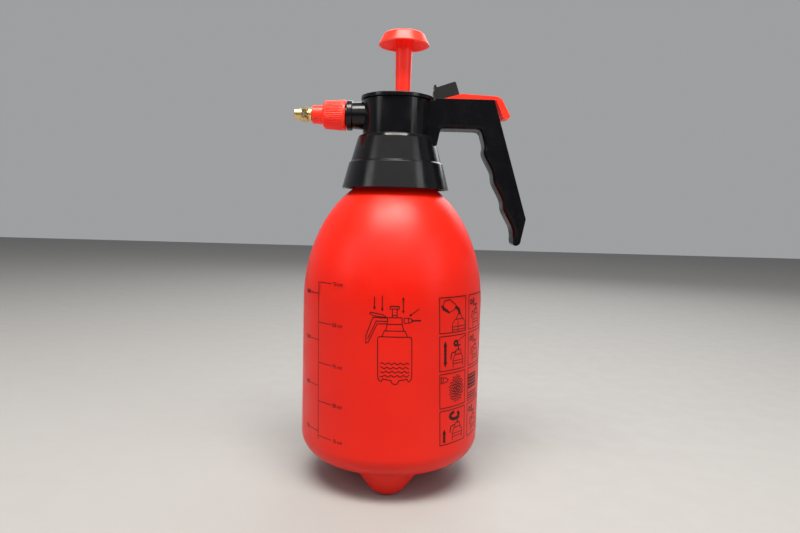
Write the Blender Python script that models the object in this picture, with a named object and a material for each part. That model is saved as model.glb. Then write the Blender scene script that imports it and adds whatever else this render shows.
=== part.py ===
"""A hand-held pump pressure sprayer of about two litres, as an assembly of its separate pieces.

The frame is in metres, +Z up.  Its origin lies on the surface that the sprayer stands on, under
the middle of its outline from the nozzle's tip to the back of the handle.  The nozzle points
along -X and the handle runs along +X.  Heights below are above that surface; sideways places
are from the bottle's axis, which the empty bottle_axis carries.
"""

import math

import bmesh
import bpy
from mathutils import Matrix, Vector

MM = 0.001
GAP = 0.3 * MM

# Rounding of turned pieces, in sides.
LARGE, MEDIUM, SMALL = 32, 20, 12

# Driving sizes.
TANK_RADIUS = 71.6 * MM
TANK_WALL = 1.6 * MM
NOZZLE_REACH = 81.2 * MM
HANDLE_REACH = 103.2 * MM
AXIS_X = (NOZZLE_REACH - HANDLE_REACH) / 2

# Tank: a shallow dome on three feet, a rounded corner, a straight wall and an elliptic shoulder.
DOME_RADIUS, DOME_BOTTOM = 147 * MM, 8 * MM
CORNER_RADIUS, CORNER_Z = 18 * MM, 37 * MM
SHOULDER_Z, SHOULDER_HEIGHT = 142 * MM, 101 * MM
SHOULDER_TOP_RADIUS = 31.3 * MM
NECK_RADIUS, NECK_BORE, LIP_Z = 28.5 * MM, 26 * MM, 259 * MM
FOOT_COUNT, FOOT_CIRCLE, FOOT_RADIUS, FOOT_FLAT = 3, 46 * MM, 18 * MM, 4 * MM

# Neck thread, shared by the tank and the head.
THREAD_PITCH, THREAD_TURNS, THREAD_START = 5 * MM, 1.5, 239 * MM
THREAD_MAJOR, THREAD_ROOT, THREAD_CREST = 30.6 * MM, 31.1 * MM, 29.1 * MM

# Head: the two-step skirt, the chamber above the deck, and the deck itself.
SKIRT_Z, SKIRT_RADIUS = 231.5 * MM, 42.6 * MM
STEP_Z, STEP_RADIUS = 251.8 * MM, 37.3 * MM
CONE_Z, CONE_RADIUS = 252.8 * MM, 35.7 * MM
CONE_TOP_Z, CONE_TOP_RADIUS = 270.7 * MM, 30.8 * MM
HEAD_RADIUS, HEAD_BORE, HEAD_TOP = 27.1 * MM, 24.4 * MM, 300.3 * MM
DECK_LOW, DECK_HIGH = 261.6 * MM, 265 * MM
HEAD_WALL = 2.2 * MM
CAP_RADIUS, CAP_TOP = 28.7 * MM, 303.5 * MM

# Pump, on an axis a little behind the bottle's.
PUMP_X = 4 * MM
SOCKET_BORE, SOCKET_RADIUS, SOCKET_TOP = 14.7 * MM, 16.4 * MM, 291.5 * MM
CYLINDER_BORE, CYLINDER_RADIUS = 12.6 * MM, 14.4 * MM
CYLINDER_LOW, FLANGE_LOW, FLANGE_HIGH, FLANGE_RADIUS = 196 * MM, 293.5 * MM, 295.5 * MM, 19.8 * MM
ROD_TOP_RADIUS, ROD_RADIUS, ROD_LOW, ROD_TOP = 6.5 * MM, 5.6 * MM, 246 * MM, 349.6 * MM
KNOB_RIM_Z, KNOB_RIM, KNOB_TOP, KNOB_TOP_RADIUS = 343.4 * MM, 19.8 * MM, 353.2 * MM, 15.7 * MM
PISTON_LOW = 236 * MM

# Spray barrel and nozzle, along -X.  Lengths are from the bottle's axis.
BARREL_Z = 288.6 * MM
FLANGE_START, FLANGE_END, BARREL_FLANGE_RADIUS = 35.3 * MM, 39.6 * MM, 11.7 * MM
SPIGOT_END, SPIGOT_RADIUS = 52.9 * MM, 8 * MM
COLLAR_START, COLLAR_STEP, COLLAR_END = 40.6 * MM, 58.3 * MM, 66.9 * MM
COLLAR_RADIUS, COLLAR_FRONT_RADIUS, COLLAR_NOSE_RADIUS = 11.9 * MM, 10.8 * MM, 7.1 * MM
NOZZLE_SHOULDER_END, NOZZLE_CAP_START, NOZZLE_HEX_END = 70.1 * MM, 70.7 * MM, 75.3 * MM

# Arm and grip, in the plane of the nozzle.
ARM_TOP, ARM_UNDERSIDE, ARM_WIDTH = 301.7 * MM, 279 * MM, 25 * MM
ARM_BACK_X = 75 * MM
CHANNEL_WIDTH, CHANNEL_FLOOR, CHANNEL_START = 19.4 * MM, 282.5 * MM, 27.9 * MM
GRIP_CORNER_Z, GRIP_TIP_X, GRIP_TIP_Z, GRIP_TIP_RADIUS = 210.5 * MM, 97.4 * MM, 192 * MM, 3 * MM
FINGER_FIRST = (68.6 * MM, 260 * MM)
FINGER_STEP = (8.7 * MM, -21.9 * MM)
FINGER_KNUCKLE = (6.8 * MM, -13 * MM)
FINGER_COUNT = 3
GRIP_WALL = 2.8 * MM

# Trigger, its lock and the valve that it opens.
PIVOT_X, PIVOT_Z, PIVOT_HUB, PIN_RADIUS = 32 * MM, 296.5 * MM, 3.6 * MM, 1.5 * MM
TRIGGER_WIDTH, TRIGGER_WALL = 17 * MM, 2.2 * MM
TRIGGER_FRONT, TRIGGER_APEX = (30.7 * MM, 300.8 * MM), (50 * MM, 306.4 * MM)
TRIGGER_REAR, TRIGGER_CORNER = (77.5 * MM, 305 * MM), (80.8 * MM, 303.4 * MM)
TRIGGER_TAIL_OUT, TRIGGER_TAIL_IN = (88.9 * MM, 288.9 * MM), (82.9 * MM, 288.2 * MM)
TRIGGER_SKIRT_Z = 297.5 * MM
SLOPE = math.atan2(TRIGGER_APEX[1] - TRIGGER_FRONT[1], TRIGGER_APEX[0] - TRIGGER_FRONT[0])
LOCK_X, LOCK_WIDTH = 38.5 * MM, 12 * MM
VALVE_X, VALVE_RADIUS, VALVE_LOW, VALVE_HIGH = 51.2 * MM, 5.5 * MM, 282.8 * MM, 290 * MM
GLAND_HIGH, SPRING_LOW, SPRING_HIGH, STEM_TOP = 292.3 * MM, 292.6 * MM, 299.3 * MM, 301.6 * MM
PORT_Y, PORT_Z, PORT_RADIUS, PORT_END = 3 * MM, 287 * MM, 1.4 * MM, 42.5 * MM

# Pipes.
PIPE_RADIUS, PIPE_BORE = 2.2 * MM, 1.7 * MM
DIP_X, DIP_Y, DIP_RADIUS, DIP_BORE = 8 * MM, 19.2 * MM, 3.2 * MM, 2.5 * MM


def clear_scene():
    for old in list(bpy.data.objects):
        bpy.data.objects.remove(old)


def make_material(name, colour, roughness, metallic=0.0):
    material = bpy.data.materials.new(name)
    material.use_nodes = True
    shader = material.node_tree.nodes["Principled BSDF"]
    shader.inputs["Base Color"].default_value = (*colour, 1)
    shader.inputs["Roughness"].default_value = roughness
    shader.inputs["Metallic"].default_value = metallic
    return material


def red_plastic(name):
    return make_material(name, (0.85, 0.07, 0.02), 0.42)


def black_plastic(name):
    return make_material(name, (0.012, 0.012, 0.014), 0.2)


def pale_plastic(name):
    return make_material(name, (0.75, 0.74, 0.7), 0.4)


def black_rubber(name):
    return make_material(name, (0.02, 0.02, 0.02), 0.7)


def brass(name):
    return make_material(name, (0.72, 0.52, 0.2), 0.28, 1.0)


def steel(name):
    return make_material(name, (0.6, 0.6, 0.6), 0.3, 1.0)


def add_empty(name, place):
    empty = bpy.data.objects.new(name, None)
    empty.location = place
    bpy.context.scene.collection.objects.link(empty)
    return empty


def add_object(name, shape, parent, place=(0, 0, 0), turn=(0, 0, 0), material=None):
    """Link a bmesh as an object under its parent, smooth where its faces meet gently."""
    bmesh.ops.recalc_face_normals(shape, faces=shape.faces)
    mesh = bpy.data.meshes.new(name)
    shape.to_mesh(mesh)
    shape.free()
    mesh.shade_smooth()
    mesh.set_sharp_from_angle(angle=math.radians(35))
    if material:
        mesh.materials.append(material(name))
    piece = bpy.data.objects.new(name, mesh)
    piece.parent = parent
    piece.location = place
    piece.rotation_euler = turn
    bpy.context.scene.collection.objects.link(piece)
    return piece


def apply_tool(piece, tool, operation):
    """Add or cut a helper solid, which then stays out of the render."""
    modifier = piece.modifiers.new(tool.name, "BOOLEAN")
    modifier.object = tool
    modifier.operation = operation
    modifier.solver = "EXACT"
    piece.modifiers.new(tool.name + "_triangles", "TRIANGULATE")
    tool.hide_render = True
    tool.display_type = "WIRE"


def cut(piece, tool):
    apply_tool(piece, tool, "DIFFERENCE")


def join(piece, tool):
    apply_tool(piece, tool, "UNION")


def turned(outline, sides):
    """The solid turned about Z from a closed outline of (radius, height) points."""
    shape = bmesh.new()
    rings = []
    for radius, height in outline:
        count = sides if radius > 0 else 1
        angles = [2 * math.pi * k / sides for k in range(count)]
        rings.append([shape.verts.new((radius * math.cos(a), radius * math.sin(a), height)) for a in angles])
    for ring, after in zip(rings, rings[1:] + rings[:1]):
        if len(ring) == 1 and len(after) == 1:
            continue
        for k in range(sides):
            corners = [
                ring[k % len(ring)],
                ring[(k + 1) % len(ring)],
                after[(k + 1) % len(after)],
                after[k % len(after)],
            ]
            shape.faces.new(list(dict.fromkeys(corners)))
    return shape


def tube(inner, outer, low, high, sides):
    return turned([(inner, low), (outer, low), (outer, high), (inner, high)], sides)


def disc(radius, low, high, sides):
    return turned([(0, low), (radius, low), (radius, high), (0, high)], sides)


def prism(outline, width):
    """The solid between y = -width/2 and width/2 over a closed outline of (x, z) points."""
    shape = bmesh.new()
    face = shape.faces.new([shape.verts.new((x, -width / 2, z)) for x, z in outline])
    far = bmesh.ops.extrude_face_region(shape, geom=[face])
    moved = [item for item in far["geom"] if isinstance(item, bmesh.types.BMVert)]
    bmesh.ops.translate(shape, verts=moved, vec=(0, width, 0))
    return shape


def block(low, high):
    """The box between two corners."""
    shape = bmesh.new()
    middle = (Vector(low) + Vector(high)) / 2
    size = Vector(high) - Vector(low)
    bmesh.ops.create_cube(shape, size=1, matrix=Matrix.Translation(middle) @ Matrix.Diagonal((*size, 1)))
    return shape


def arc(centre, radius, start, end, steps):
    """Points on a circle, from one angle in degrees to another."""
    angles = [math.radians(start + (end - start) * k / steps) for k in range(steps + 1)]
    return [(centre[0] + radius * math.cos(a), centre[1] + radius * math.sin(a)) for a in angles]


def smooth_curve(points, steps):
    """A Catmull-Rom curve through the points, which may have two or three coordinates."""
    points = [Vector(point) for point in points]
    before = [2 * points[0] - points[1]] + points
    padded = before + [2 * points[-1] - points[-2]]
    curve = []
    for a, b, c, d in zip(padded, padded[1:], padded[2:], padded[3:]):
        for k in range(steps):
            t = k / steps
            curve.append(0.5 * (2 * b + (c - a) * t + (2 * a - 5 * b + 4 * c - d) * t**2
                                + (3 * b - 3 * c + d - a) * t**3))
    curve.append(points[-1])
    return [tuple(point) for point in curve]


def swept(route, radius, sides, bore=0.0):
    """A rod along a 3D route, or a tube when it has a bore."""
    route = [Vector(point) for point in route]
    shape = bmesh.new()
    directions = [(b - a).normalized() for a, b in zip(route, route[1:])]
    tangents = [directions[0]]
    tangents += [(a + b).normalized() for a, b in zip(directions, directions[1:])]
    tangents.append(directions[-1])
    side = tangents[0].orthogonal().normalized()
    skins = [[] for size in (radius, bore) if size]
    for point, tangent in zip(route, tangents):
        side = (side - tangent * side.dot(tangent)).normalized()
        other = tangent.cross(side)
        for skin, size in zip(skins, (radius, bore)):
            angles = [2 * math.pi * k / sides for k in range(sides)]
            skin.append([shape.verts.new(point + size * (math.cos(a) * side + math.sin(a) * other))
                         for a in angles])
    for skin in skins:
        for ring, after in zip(skin, skin[1:]):
            for k in range(sides):
                n = (k + 1) % sides
                shape.faces.new((ring[k], ring[n], after[n], after[k]))
    for end in (0, -1):
        if bore:
            for k in range(sides):
                n = (k + 1) % sides
                shape.faces.new((skins[0][end][k], skins[0][end][n], skins[1][end][n], skins[1][end][k]))
        else:
            shape.faces.new(skins[0][end])
    return shape


def thread(root, crest, start, flank):
    """One helical ridge of the neck thread, from its root radius to its crest."""
    shape = bmesh.new()
    steps = round(24 * THREAD_TURNS)
    half_root, half_crest = flank * THREAD_PITCH, 0.4 * flank * THREAD_PITCH
    sections = []
    for k in range(steps + 1):
        angle = 2 * math.pi * THREAD_TURNS * k / steps
        height = start + THREAD_PITCH * THREAD_TURNS * k / steps
        corners = ((root, -half_root), (crest, -half_crest), (crest, half_crest), (root, half_root))
        sections.append([shape.verts.new((r * math.cos(angle), r * math.sin(angle), height + lift))
                         for r, lift in corners])
    for section, after in zip(sections, sections[1:]):
        for k in range(4):
            n = (k + 1) % 4
            shape.faces.new((section[k], section[n], after[n], after[k]))
    shape.faces.new(sections[0])
    shape.faces.new(sections[-1])
    return shape


def tank_outline(wall):
    """The bottle's outer outline, or with a wall thickness the one inside it, from the floor up."""
    dome_centre = (0, DOME_BOTTOM + DOME_RADIUS)
    corner_centre = (TANK_RADIUS - CORNER_RADIUS, CORNER_Z)
    lean = math.degrees(math.atan2(corner_centre[1] - dome_centre[1], corner_centre[0]))
    radius, height = TANK_RADIUS - wall, SHOULDER_HEIGHT - wall
    top_radius = NECK_BORE if wall else SHOULDER_TOP_RADIUS
    last = math.acos(top_radius / radius)
    steps = 9
    outline = arc(dome_centre, DOME_RADIUS - wall, -90, lean, 4)[:-1]
    outline += arc(corner_centre, CORNER_RADIUS - wall, lean, 0, 4)
    for k in range(steps + 1):
        angle = last * k / steps
        outline.append((radius * math.cos(angle), SHOULDER_Z + height * math.sin(angle)))
    outline[0] = (0, DOME_BOTTOM + wall)
    return outline


def foot_outline(wall):
    """A foot as a truncated ball with a straight root, open upwards into the tank."""
    radius = FOOT_RADIUS - wall
    flat = FOOT_FLAT if not wall else FOOT_FLAT - 0.5 * wall
    centre_z = math.sqrt(FOOT_RADIUS**2 - FOOT_FLAT**2)
    start = -math.degrees(math.acos(flat / radius))
    outline = arc((0, centre_z), radius, start, 0, 5)
    root_top = 25 * MM
    return [(0, outline[0][1])] + outline + [(radius, root_top), (0, root_top)]


def add_feet(piece, wall, root):
    for k in range(FOOT_COUNT):
        angle = 2 * math.pi * k / FOOT_COUNT - math.pi / 2
        place = (FOOT_CIRCLE * math.cos(angle), FOOT_CIRCLE * math.sin(angle), 0)
        foot = add_object(f"{piece.name}_foot_{k}", turned(foot_outline(wall), SMALL), root, place)
        join(piece, foot)


def add_tank(root):
    neck_foot, lip_round = 235 * MM, 0.7 * MM
    outline = tank_outline(0)
    outline += [
        (NECK_RADIUS + 1.4 * MM, neck_foot - 1.2 * MM),
        (NECK_RADIUS, neck_foot),
        (NECK_RADIUS, LIP_Z - lip_round),
        (NECK_RADIUS - lip_round, LIP_Z),
        (0, LIP_Z),
    ]
    tank = add_object("tank", turned(outline, LARGE), root, material=red_plastic)
    add_feet(tank, 0, root)
    above = LIP_Z + 3 * MM
    cavity = tank_outline(TANK_WALL) + [(NECK_BORE, above), (0, above)]
    void = add_object("tank_void", turned(cavity, LARGE), root)
    add_feet(void, TANK_WALL, root)
    cut(tank, void)
    ridge = thread(NECK_RADIUS - 0.8 * MM, THREAD_MAJOR, THREAD_START, 0.24)
    join(tank, add_object("tank_thread", ridge, root))


def add_neck_gasket(root):
    ring = tube(25.8 * MM, 30.3 * MM, LIP_Z + GAP, DECK_LOW - GAP, LARGE)
    add_object("neck_gasket", ring, root, material=black_rubber)


def finger_outline():
    """The grip's inner edge with its finger hollows, from the arm down to the tip."""
    points = [(66.1 * MM, 276.5 * MM), (68.6 * MM, 267.3 * MM)]
    for k in range(FINGER_COUNT):
        x = FINGER_FIRST[0] + k * FINGER_STEP[0]
        z = FINGER_FIRST[1] + k * FINGER_STEP[1]
        points.append((x, z))
        points.append((x + FINGER_KNUCKLE[0], z + FINGER_KNUCKLE[1]))
    points.append((GRIP_TIP_X - GRIP_TIP_RADIUS, GRIP_TIP_Z + 1.5 * MM))
    return smooth_curve(points, 3)


def handle_outline():
    inside_head = 8 * MM
    root_x, root_round, bend_x = 33.5 * MM, 3 * MM, 61.5 * MM
    clear_of_cap = CAP_RADIUS + 2 * GAP
    outline = [(inside_head, HEAD_TOP), (clear_of_cap, HEAD_TOP), (clear_of_cap, ARM_TOP)]
    outline += [(ARM_BACK_X, ARM_TOP), (HANDLE_REACH, GRIP_CORNER_Z)]
    outline += arc((GRIP_TIP_X, GRIP_TIP_Z), GRIP_TIP_RADIUS, 8, -170, 6)
    outline += reversed(finger_outline())
    outline += [(bend_x, ARM_UNDERSIDE)]
    outline += arc((root_x + root_round, ARM_UNDERSIDE - root_round), root_round, 90, 160, 3)
    outline += [(inside_head, CONE_TOP_Z - 6 * MM)]
    return outline


def back_x(z):
    """Where the grip's straight back lies at a height."""
    along = (ARM_TOP - z) / (ARM_TOP - GRIP_CORNER_Z)
    return ARM_BACK_X + along * (HANDLE_REACH - ARM_BACK_X)


def front_x(z):
    """A straight line a wall's thickness behind the finger hollows."""
    lean = FINGER_STEP[0] / FINGER_STEP[1]
    return FINGER_FIRST[0] + GRIP_WALL + 4 * MM + (z - FINGER_FIRST[1]) * lean


def add_handle_hollows(head, root):
    """The arm's open-topped channel, and the grip's cells between its stiffening ribs."""
    above, behind = ARM_TOP + 3 * MM, 4 * MM
    bottom = 268 * MM
    channel = [
        (CHANNEL_START, CHANNEL_FLOOR),
        (front_x(CHANNEL_FLOOR) + 2 * MM, CHANNEL_FLOOR),
        (front_x(bottom), bottom),
        (back_x(bottom) + behind, bottom),
        (back_x(above) + behind, above),
        (CHANNEL_START, above),
    ]
    cut(head, add_object("arm_channel", prism(channel, CHANNEL_WIDTH), root))
    rib, lowest, cells = 2 * MM, 203 * MM, 3
    tall = (bottom - lowest) / cells
    for k in range(cells):
        high = bottom - k * tall - rib
        low = bottom - (k + 1) * tall
        cell = [(front_x(low), low), (back_x(low) + behind, low),
                (back_x(high) + behind, high), (front_x(high), high)]
        cut(head, add_object(f"grip_cell_{k}", prism(cell, CHANNEL_WIDTH), root))


def inlet_route():
    return [
        (DIP_X, DIP_Y, 252 * MM),
        (DIP_X, DIP_Y, 262 * MM),
        (DIP_X, DIP_Y, 272 * MM),
        (9.5 * MM, 18.8 * MM, 280 * MM),
        (14 * MM, 16.4 * MM, 285.5 * MM),
        (20.5 * MM, 11.8 * MM, PORT_Z),
        (27.5 * MM, 6.6 * MM, PORT_Z),
        (35 * MM, 3.6 * MM, PORT_Z),
        (42 * MM, PORT_Y, PORT_Z),
        (45.5 * MM, PORT_Y, PORT_Z),
    ]


def delivery_route():
    return [
        (45.5 * MM, -PORT_Y, PORT_Z),
        (42 * MM, -PORT_Y, PORT_Z),
        (35 * MM, -3.6 * MM, PORT_Z),
        (27.5 * MM, -6.6 * MM, 287.4 * MM),
        (20.5 * MM, -12.2 * MM, 288 * MM),
        (12.5 * MM, -18 * MM, BARREL_Z),
        (3.5 * MM, -20.3 * MM, BARREL_Z),
        (-7 * MM, -17.2 * MM, BARREL_Z),
        (-14.5 * MM, -9 * MM, BARREL_Z),
        (-18.5 * MM, -2.6 * MM, BARREL_Z),
        (-25 * MM, 0, BARREL_Z),
        (-33 * MM, 0, BARREL_Z),
    ]


def barrel_outline():
    """The spray barrel, its flange and the spigot for the collar, as (radius, length)."""
    buried = 14 * MM
    return [
        (0, buried),
        (10.9 * MM, buried),
        (10.9 * MM, 26 * MM),
        (10.3 * MM, FLANGE_START),
        (BARREL_FLANGE_RADIUS, FLANGE_START),
        (BARREL_FLANGE_RADIUS, FLANGE_END),
        (SPIGOT_RADIUS, FLANGE_END),
        (SPIGOT_RADIUS, SPIGOT_END),
        (0, SPIGOT_END),
    ]


def chamber_radius(z, wall):
    """The radius a wall's thickness inside the skirt's upper cone."""
    lean = (CONE_RADIUS - CONE_TOP_RADIUS) / (CONE_TOP_Z - CONE_Z)
    return CONE_RADIUS - (z - CONE_Z) * lean - wall


def skirt_radius(z, wall):
    """The radius a wall's thickness inside the skirt's lower cone."""
    lean = (SKIRT_RADIUS - STEP_RADIUS) / (STEP_Z - SKIRT_Z)
    return SKIRT_RADIUS - (z - SKIRT_Z) * lean - wall


def head_outline():
    """Round the skirt's outside, the chamber above the deck and the threaded collar below it."""
    recess_top, collar_low = 248.4 * MM, 236 * MM
    return [
        (SKIRT_RADIUS, SKIRT_Z),
        (STEP_RADIUS, STEP_Z),
        (CONE_RADIUS, CONE_Z),
        (CONE_TOP_RADIUS, CONE_TOP_Z),
        (CONE_TOP_RADIUS - 0.8 * MM, CONE_TOP_Z + 1.6 * MM),
        (HEAD_RADIUS, CONE_TOP_Z + 2.2 * MM),
        (HEAD_RADIUS, HEAD_TOP),
        (HEAD_BORE, HEAD_TOP),
        (HEAD_BORE, CONE_TOP_Z + 3 * MM),
        (CONE_TOP_RADIUS - HEAD_WALL, CONE_TOP_Z),
        (chamber_radius(DECK_HIGH, HEAD_WALL), DECK_HIGH),
        (0, DECK_HIGH),
        (0, DECK_LOW),
        (THREAD_ROOT, DECK_LOW),
        (THREAD_ROOT, collar_low),
        (THREAD_ROOT + HEAD_WALL, collar_low),
        (THREAD_ROOT + HEAD_WALL, recess_top),
        (skirt_radius(recess_top, HEAD_WALL), recess_top),
        (skirt_radius(SKIRT_Z, HEAD_WALL), SKIRT_Z),
    ]


def wall_middle_outline():
    """A solid out to the middle of the chamber's wall, which trims what is joined to its outside."""
    middle = HEAD_WALL / 2
    return [
        (0, DECK_LOW - 5 * MM),
        (chamber_radius(DECK_LOW - 5 * MM, middle), DECK_LOW - 5 * MM),
        (chamber_radius(CONE_TOP_Z, middle), CONE_TOP_Z),
        (HEAD_BORE + middle, CONE_TOP_Z + 3 * MM),
        (HEAD_BORE + middle, HEAD_TOP + 5 * MM),
        (0, HEAD_TOP + 5 * MM),
    ]


def add_head_housing(root):
    head = add_object("head_housing", turned(head_outline(), LARGE), root, material=black_plastic)
    lie = (0, -math.pi / 2, 0)
    handle = add_object("handle_solid", prism(handle_outline(), ARM_WIDTH), root)
    barrel = add_object("barrel_solid", turned(barrel_outline(), MEDIUM), root, (0, 0, BARREL_Z), lie)
    trim = add_object("trim_solid", turned(wall_middle_outline(), LARGE), root)
    for outside in (handle, barrel):
        cut(outside, trim)
        join(head, outside)
    add_handle_hollows(handle, root)

    socket = disc(SOCKET_RADIUS, DECK_HIGH - 1 * MM, SOCKET_TOP, MEDIUM)
    join(head, add_object("pump_socket", socket, root, (PUMP_X, 0, 0)))
    bore = disc(SOCKET_BORE, DECK_LOW - 3 * MM, SOCKET_TOP + 3 * MM, MEDIUM)
    cut(head, add_object("pump_bore", bore, root, (PUMP_X, 0, 0)))
    for name, route in (("inlet_way", inlet_route()), ("delivery_way", delivery_route())):
        way = swept(smooth_curve(route, 2), PIPE_RADIUS + 0.4 * MM, 10)
        cut(head, add_object(name, way, root))
    outlet = disc(PIPE_BORE, 30 * MM, SPIGOT_END + 3 * MM, SMALL)
    cut(head, add_object("outlet_bore", outlet, root, (0, 0, BARREL_Z), lie))
    pin_hole = disc(PIN_RADIUS + 0.25 * MM, -11.8 * MM, 11.8 * MM, SMALL)
    cut(head, add_object("pin_hole", pin_hole, root, (PIVOT_X, 0, PIVOT_Z), (math.pi / 2, 0, 0)))
    ridge = thread(THREAD_ROOT + 0.8 * MM, THREAD_CREST, THREAD_START + THREAD_PITCH / 2, 0.17)
    join(head, add_object("head_thread", ridge, root))


def add_top_cap(root):
    low = HEAD_TOP + GAP
    outline = [
        (0, low),
        (20.4 * MM, low),
        (20.4 * MM, FLANGE_HIGH + GAP),
        (HEAD_BORE - GAP, FLANGE_HIGH + GAP),
        (HEAD_BORE - GAP, low),
        (CAP_RADIUS, low),
        (CAP_RADIUS, CAP_TOP - 0.5 * MM),
        (CAP_RADIUS - 0.5 * MM, CAP_TOP),
        (CAP_RADIUS - 2 * MM, CAP_TOP),
        (CAP_RADIUS - 2.6 * MM, CAP_TOP - 0.8 * MM),
        (0, CAP_TOP - 0.8 * MM),
    ]
    cap = add_object("top_cap", turned(outline, LARGE), root, material=black_plastic)
    hole = disc(ROD_TOP_RADIUS + 0.7 * MM, low - 3 * MM, CAP_TOP + 3 * MM, MEDIUM)
    cut(cap, add_object("rod_hole", hole, root, (PUMP_X, 0, 0)))


def add_pump_cylinder(root):
    floor = 2 * MM
    outline = [
        (3 * MM, CYLINDER_LOW),
        (CYLINDER_RADIUS, CYLINDER_LOW),
        (CYLINDER_RADIUS, FLANGE_LOW),
        (FLANGE_RADIUS, FLANGE_LOW),
        (FLANGE_RADIUS, FLANGE_HIGH),
        (CYLINDER_BORE, FLANGE_HIGH),
        (CYLINDER_BORE, CYLINDER_LOW + floor),
        (3 * MM, CYLINDER_LOW + floor),
    ]
    add_object("pump_cylinder", turned(outline, MEDIUM), root, (PUMP_X, 0, 0), material=pale_plastic)
    ring = tube(CYLINDER_RADIUS + 0.4 * MM, SOCKET_RADIUS, SOCKET_TOP + GAP, FLANGE_LOW - GAP, MEDIUM)
    add_object("cylinder_o_ring", ring, root, (PUMP_X, 0, 0), material=black_rubber)


def add_cylinder_foot(root):
    """The cup that grips the cylinder's lower end, and the flap that lets air out through it."""
    low, floor_top, grip_top = 187 * MM, 189.5 * MM, 204 * MM
    inner = CYLINDER_RADIUS + GAP
    outline = [(2.5 * MM, low), (inner + 1.7 * MM, low), (inner + 1.7 * MM, grip_top), (inner, grip_top),
               (inner, floor_top), (2.5 * MM, floor_top)]
    add_object("cylinder_foot", turned(outline, MEDIUM), root, (PUMP_X, 0, 0), material=black_plastic)
    flap = [(0, 190.5 * MM), (5 * MM, 190.5 * MM), (5.5 * MM, 193.5 * MM), (10 * MM, 194 * MM),
            (10 * MM, CYLINDER_LOW - GAP), (0, CYLINDER_LOW - GAP)]
    add_object("check_valve", turned(flap, SMALL), root, (PUMP_X, 0, 0), material=black_rubber)


def add_plunger(root):
    """The mushroom knob, its hollow rod, and the piston with its rubber cup."""
    plunger = add_empty("plunger_axis", (PUMP_X, 0, 0))
    plunger.parent = root
    wall, boss, boss_low = 1.4 * MM, 3.9 * MM, 345 * MM
    knob = [
        (0, boss_low),
        (boss, boss_low),
        (boss, ROD_TOP + GAP),
        (KNOB_TOP_RADIUS - 2.4 * MM, ROD_TOP + GAP),
        (KNOB_RIM - wall, KNOB_RIM_Z),
        (KNOB_RIM, KNOB_RIM_Z),
        (KNOB_TOP_RADIUS, KNOB_TOP - 1.7 * MM),
        (KNOB_TOP_RADIUS - 1.5 * MM, KNOB_TOP - 0.5 * MM),
        (0, KNOB_TOP),
    ]
    add_object("pump_knob", turned(knob, MEDIUM), plunger, material=red_plastic)
    rod = [
        (0, PISTON_LOW + 1 * MM),
        (3 * MM, PISTON_LOW + 1 * MM),
        (3 * MM, ROD_LOW),
        (ROD_RADIUS, ROD_LOW),
        (ROD_RADIUS, 290 * MM),
        (ROD_TOP_RADIUS, ROD_TOP - 12 * MM),
        (ROD_TOP_RADIUS, ROD_TOP),
        (boss + GAP, ROD_TOP),
        (boss + GAP, 300 * MM),
        (0, 298 * MM),
    ]
    add_object("pump_rod", turned(rod, MEDIUM), plunger, material=red_plastic)
    hub, bore, flange = 7 * MM, 3.3 * MM, CYLINDER_BORE - 0.4 * MM
    piston = [
        (bore, PISTON_LOW),
        (hub + 1.5 * MM, PISTON_LOW),
        (hub + 1.5 * MM, PISTON_LOW + 1.5 * MM),
        (hub, PISTON_LOW + 1.5 * MM),
        (hub, PISTON_LOW + 6.5 * MM),
        (flange, PISTON_LOW + 6.5 * MM),
        (flange, PISTON_LOW + 8.5 * MM),
        (hub, ROD_LOW - GAP),
        (bore, ROD_LOW - GAP),
    ]
    add_object("piston", turned(piston, MEDIUM), plunger, material=pale_plastic)
    cup = [
        (hub + GAP, PISTON_LOW + 1.8 * MM),
        (hub + 2.5 * MM, PISTON_LOW + 1.8 * MM),
        (flange - 1.2 * MM, PISTON_LOW - 0.5 * MM),
        (flange + 0.15 * MM, PISTON_LOW - 0.5 * MM),
        (flange, PISTON_LOW + 6.2 * MM),
        (hub + GAP, PISTON_LOW + 6.2 * MM),
    ]
    add_object("piston_cup", turned(cup, MEDIUM), plunger, material=black_rubber)


def add_pipes(root):
    inlet = swept(smooth_curve(inlet_route(), 2)[:-1], PIPE_RADIUS, 10, PIPE_BORE)
    add_object("inlet_pipe", inlet, root, material=pale_plastic)
    delivery = swept(smooth_curve(delivery_route(), 2)[1:-1], PIPE_RADIUS, 10, PIPE_BORE)
    add_object("delivery_pipe", delivery, root, material=pale_plastic)
    dip = tube(DIP_BORE, DIP_RADIUS, 19 * MM, 259.5 * MM, SMALL)
    add_object("dip_tube", dip, root, (DIP_X, DIP_Y, 0), material=pale_plastic)
    outer, inner = 5.2 * MM, DIP_RADIUS + GAP
    cup = [
        (0, 13 * MM),
        (outer - 0.8 * MM, 13 * MM),
        (outer, 14 * MM),
        (outer, 27 * MM),
        (inner, 27 * MM),
        (inner, 15 * MM),
        (0, 15 * MM),
    ]
    strainer = add_object("strainer", turned(cup, SMALL), root, (DIP_X, DIP_Y, 0), material=black_plastic)
    for k in range(2):
        slot = block((-8 * MM, -1 * MM, 15.3 * MM), (8 * MM, 1 * MM, 18.3 * MM))
        turn = (0, 0, k * math.pi / 2)
        cut(strainer, add_object(f"strainer_slot_{k}", slot, root, (DIP_X, DIP_Y, 0), turn))


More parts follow.
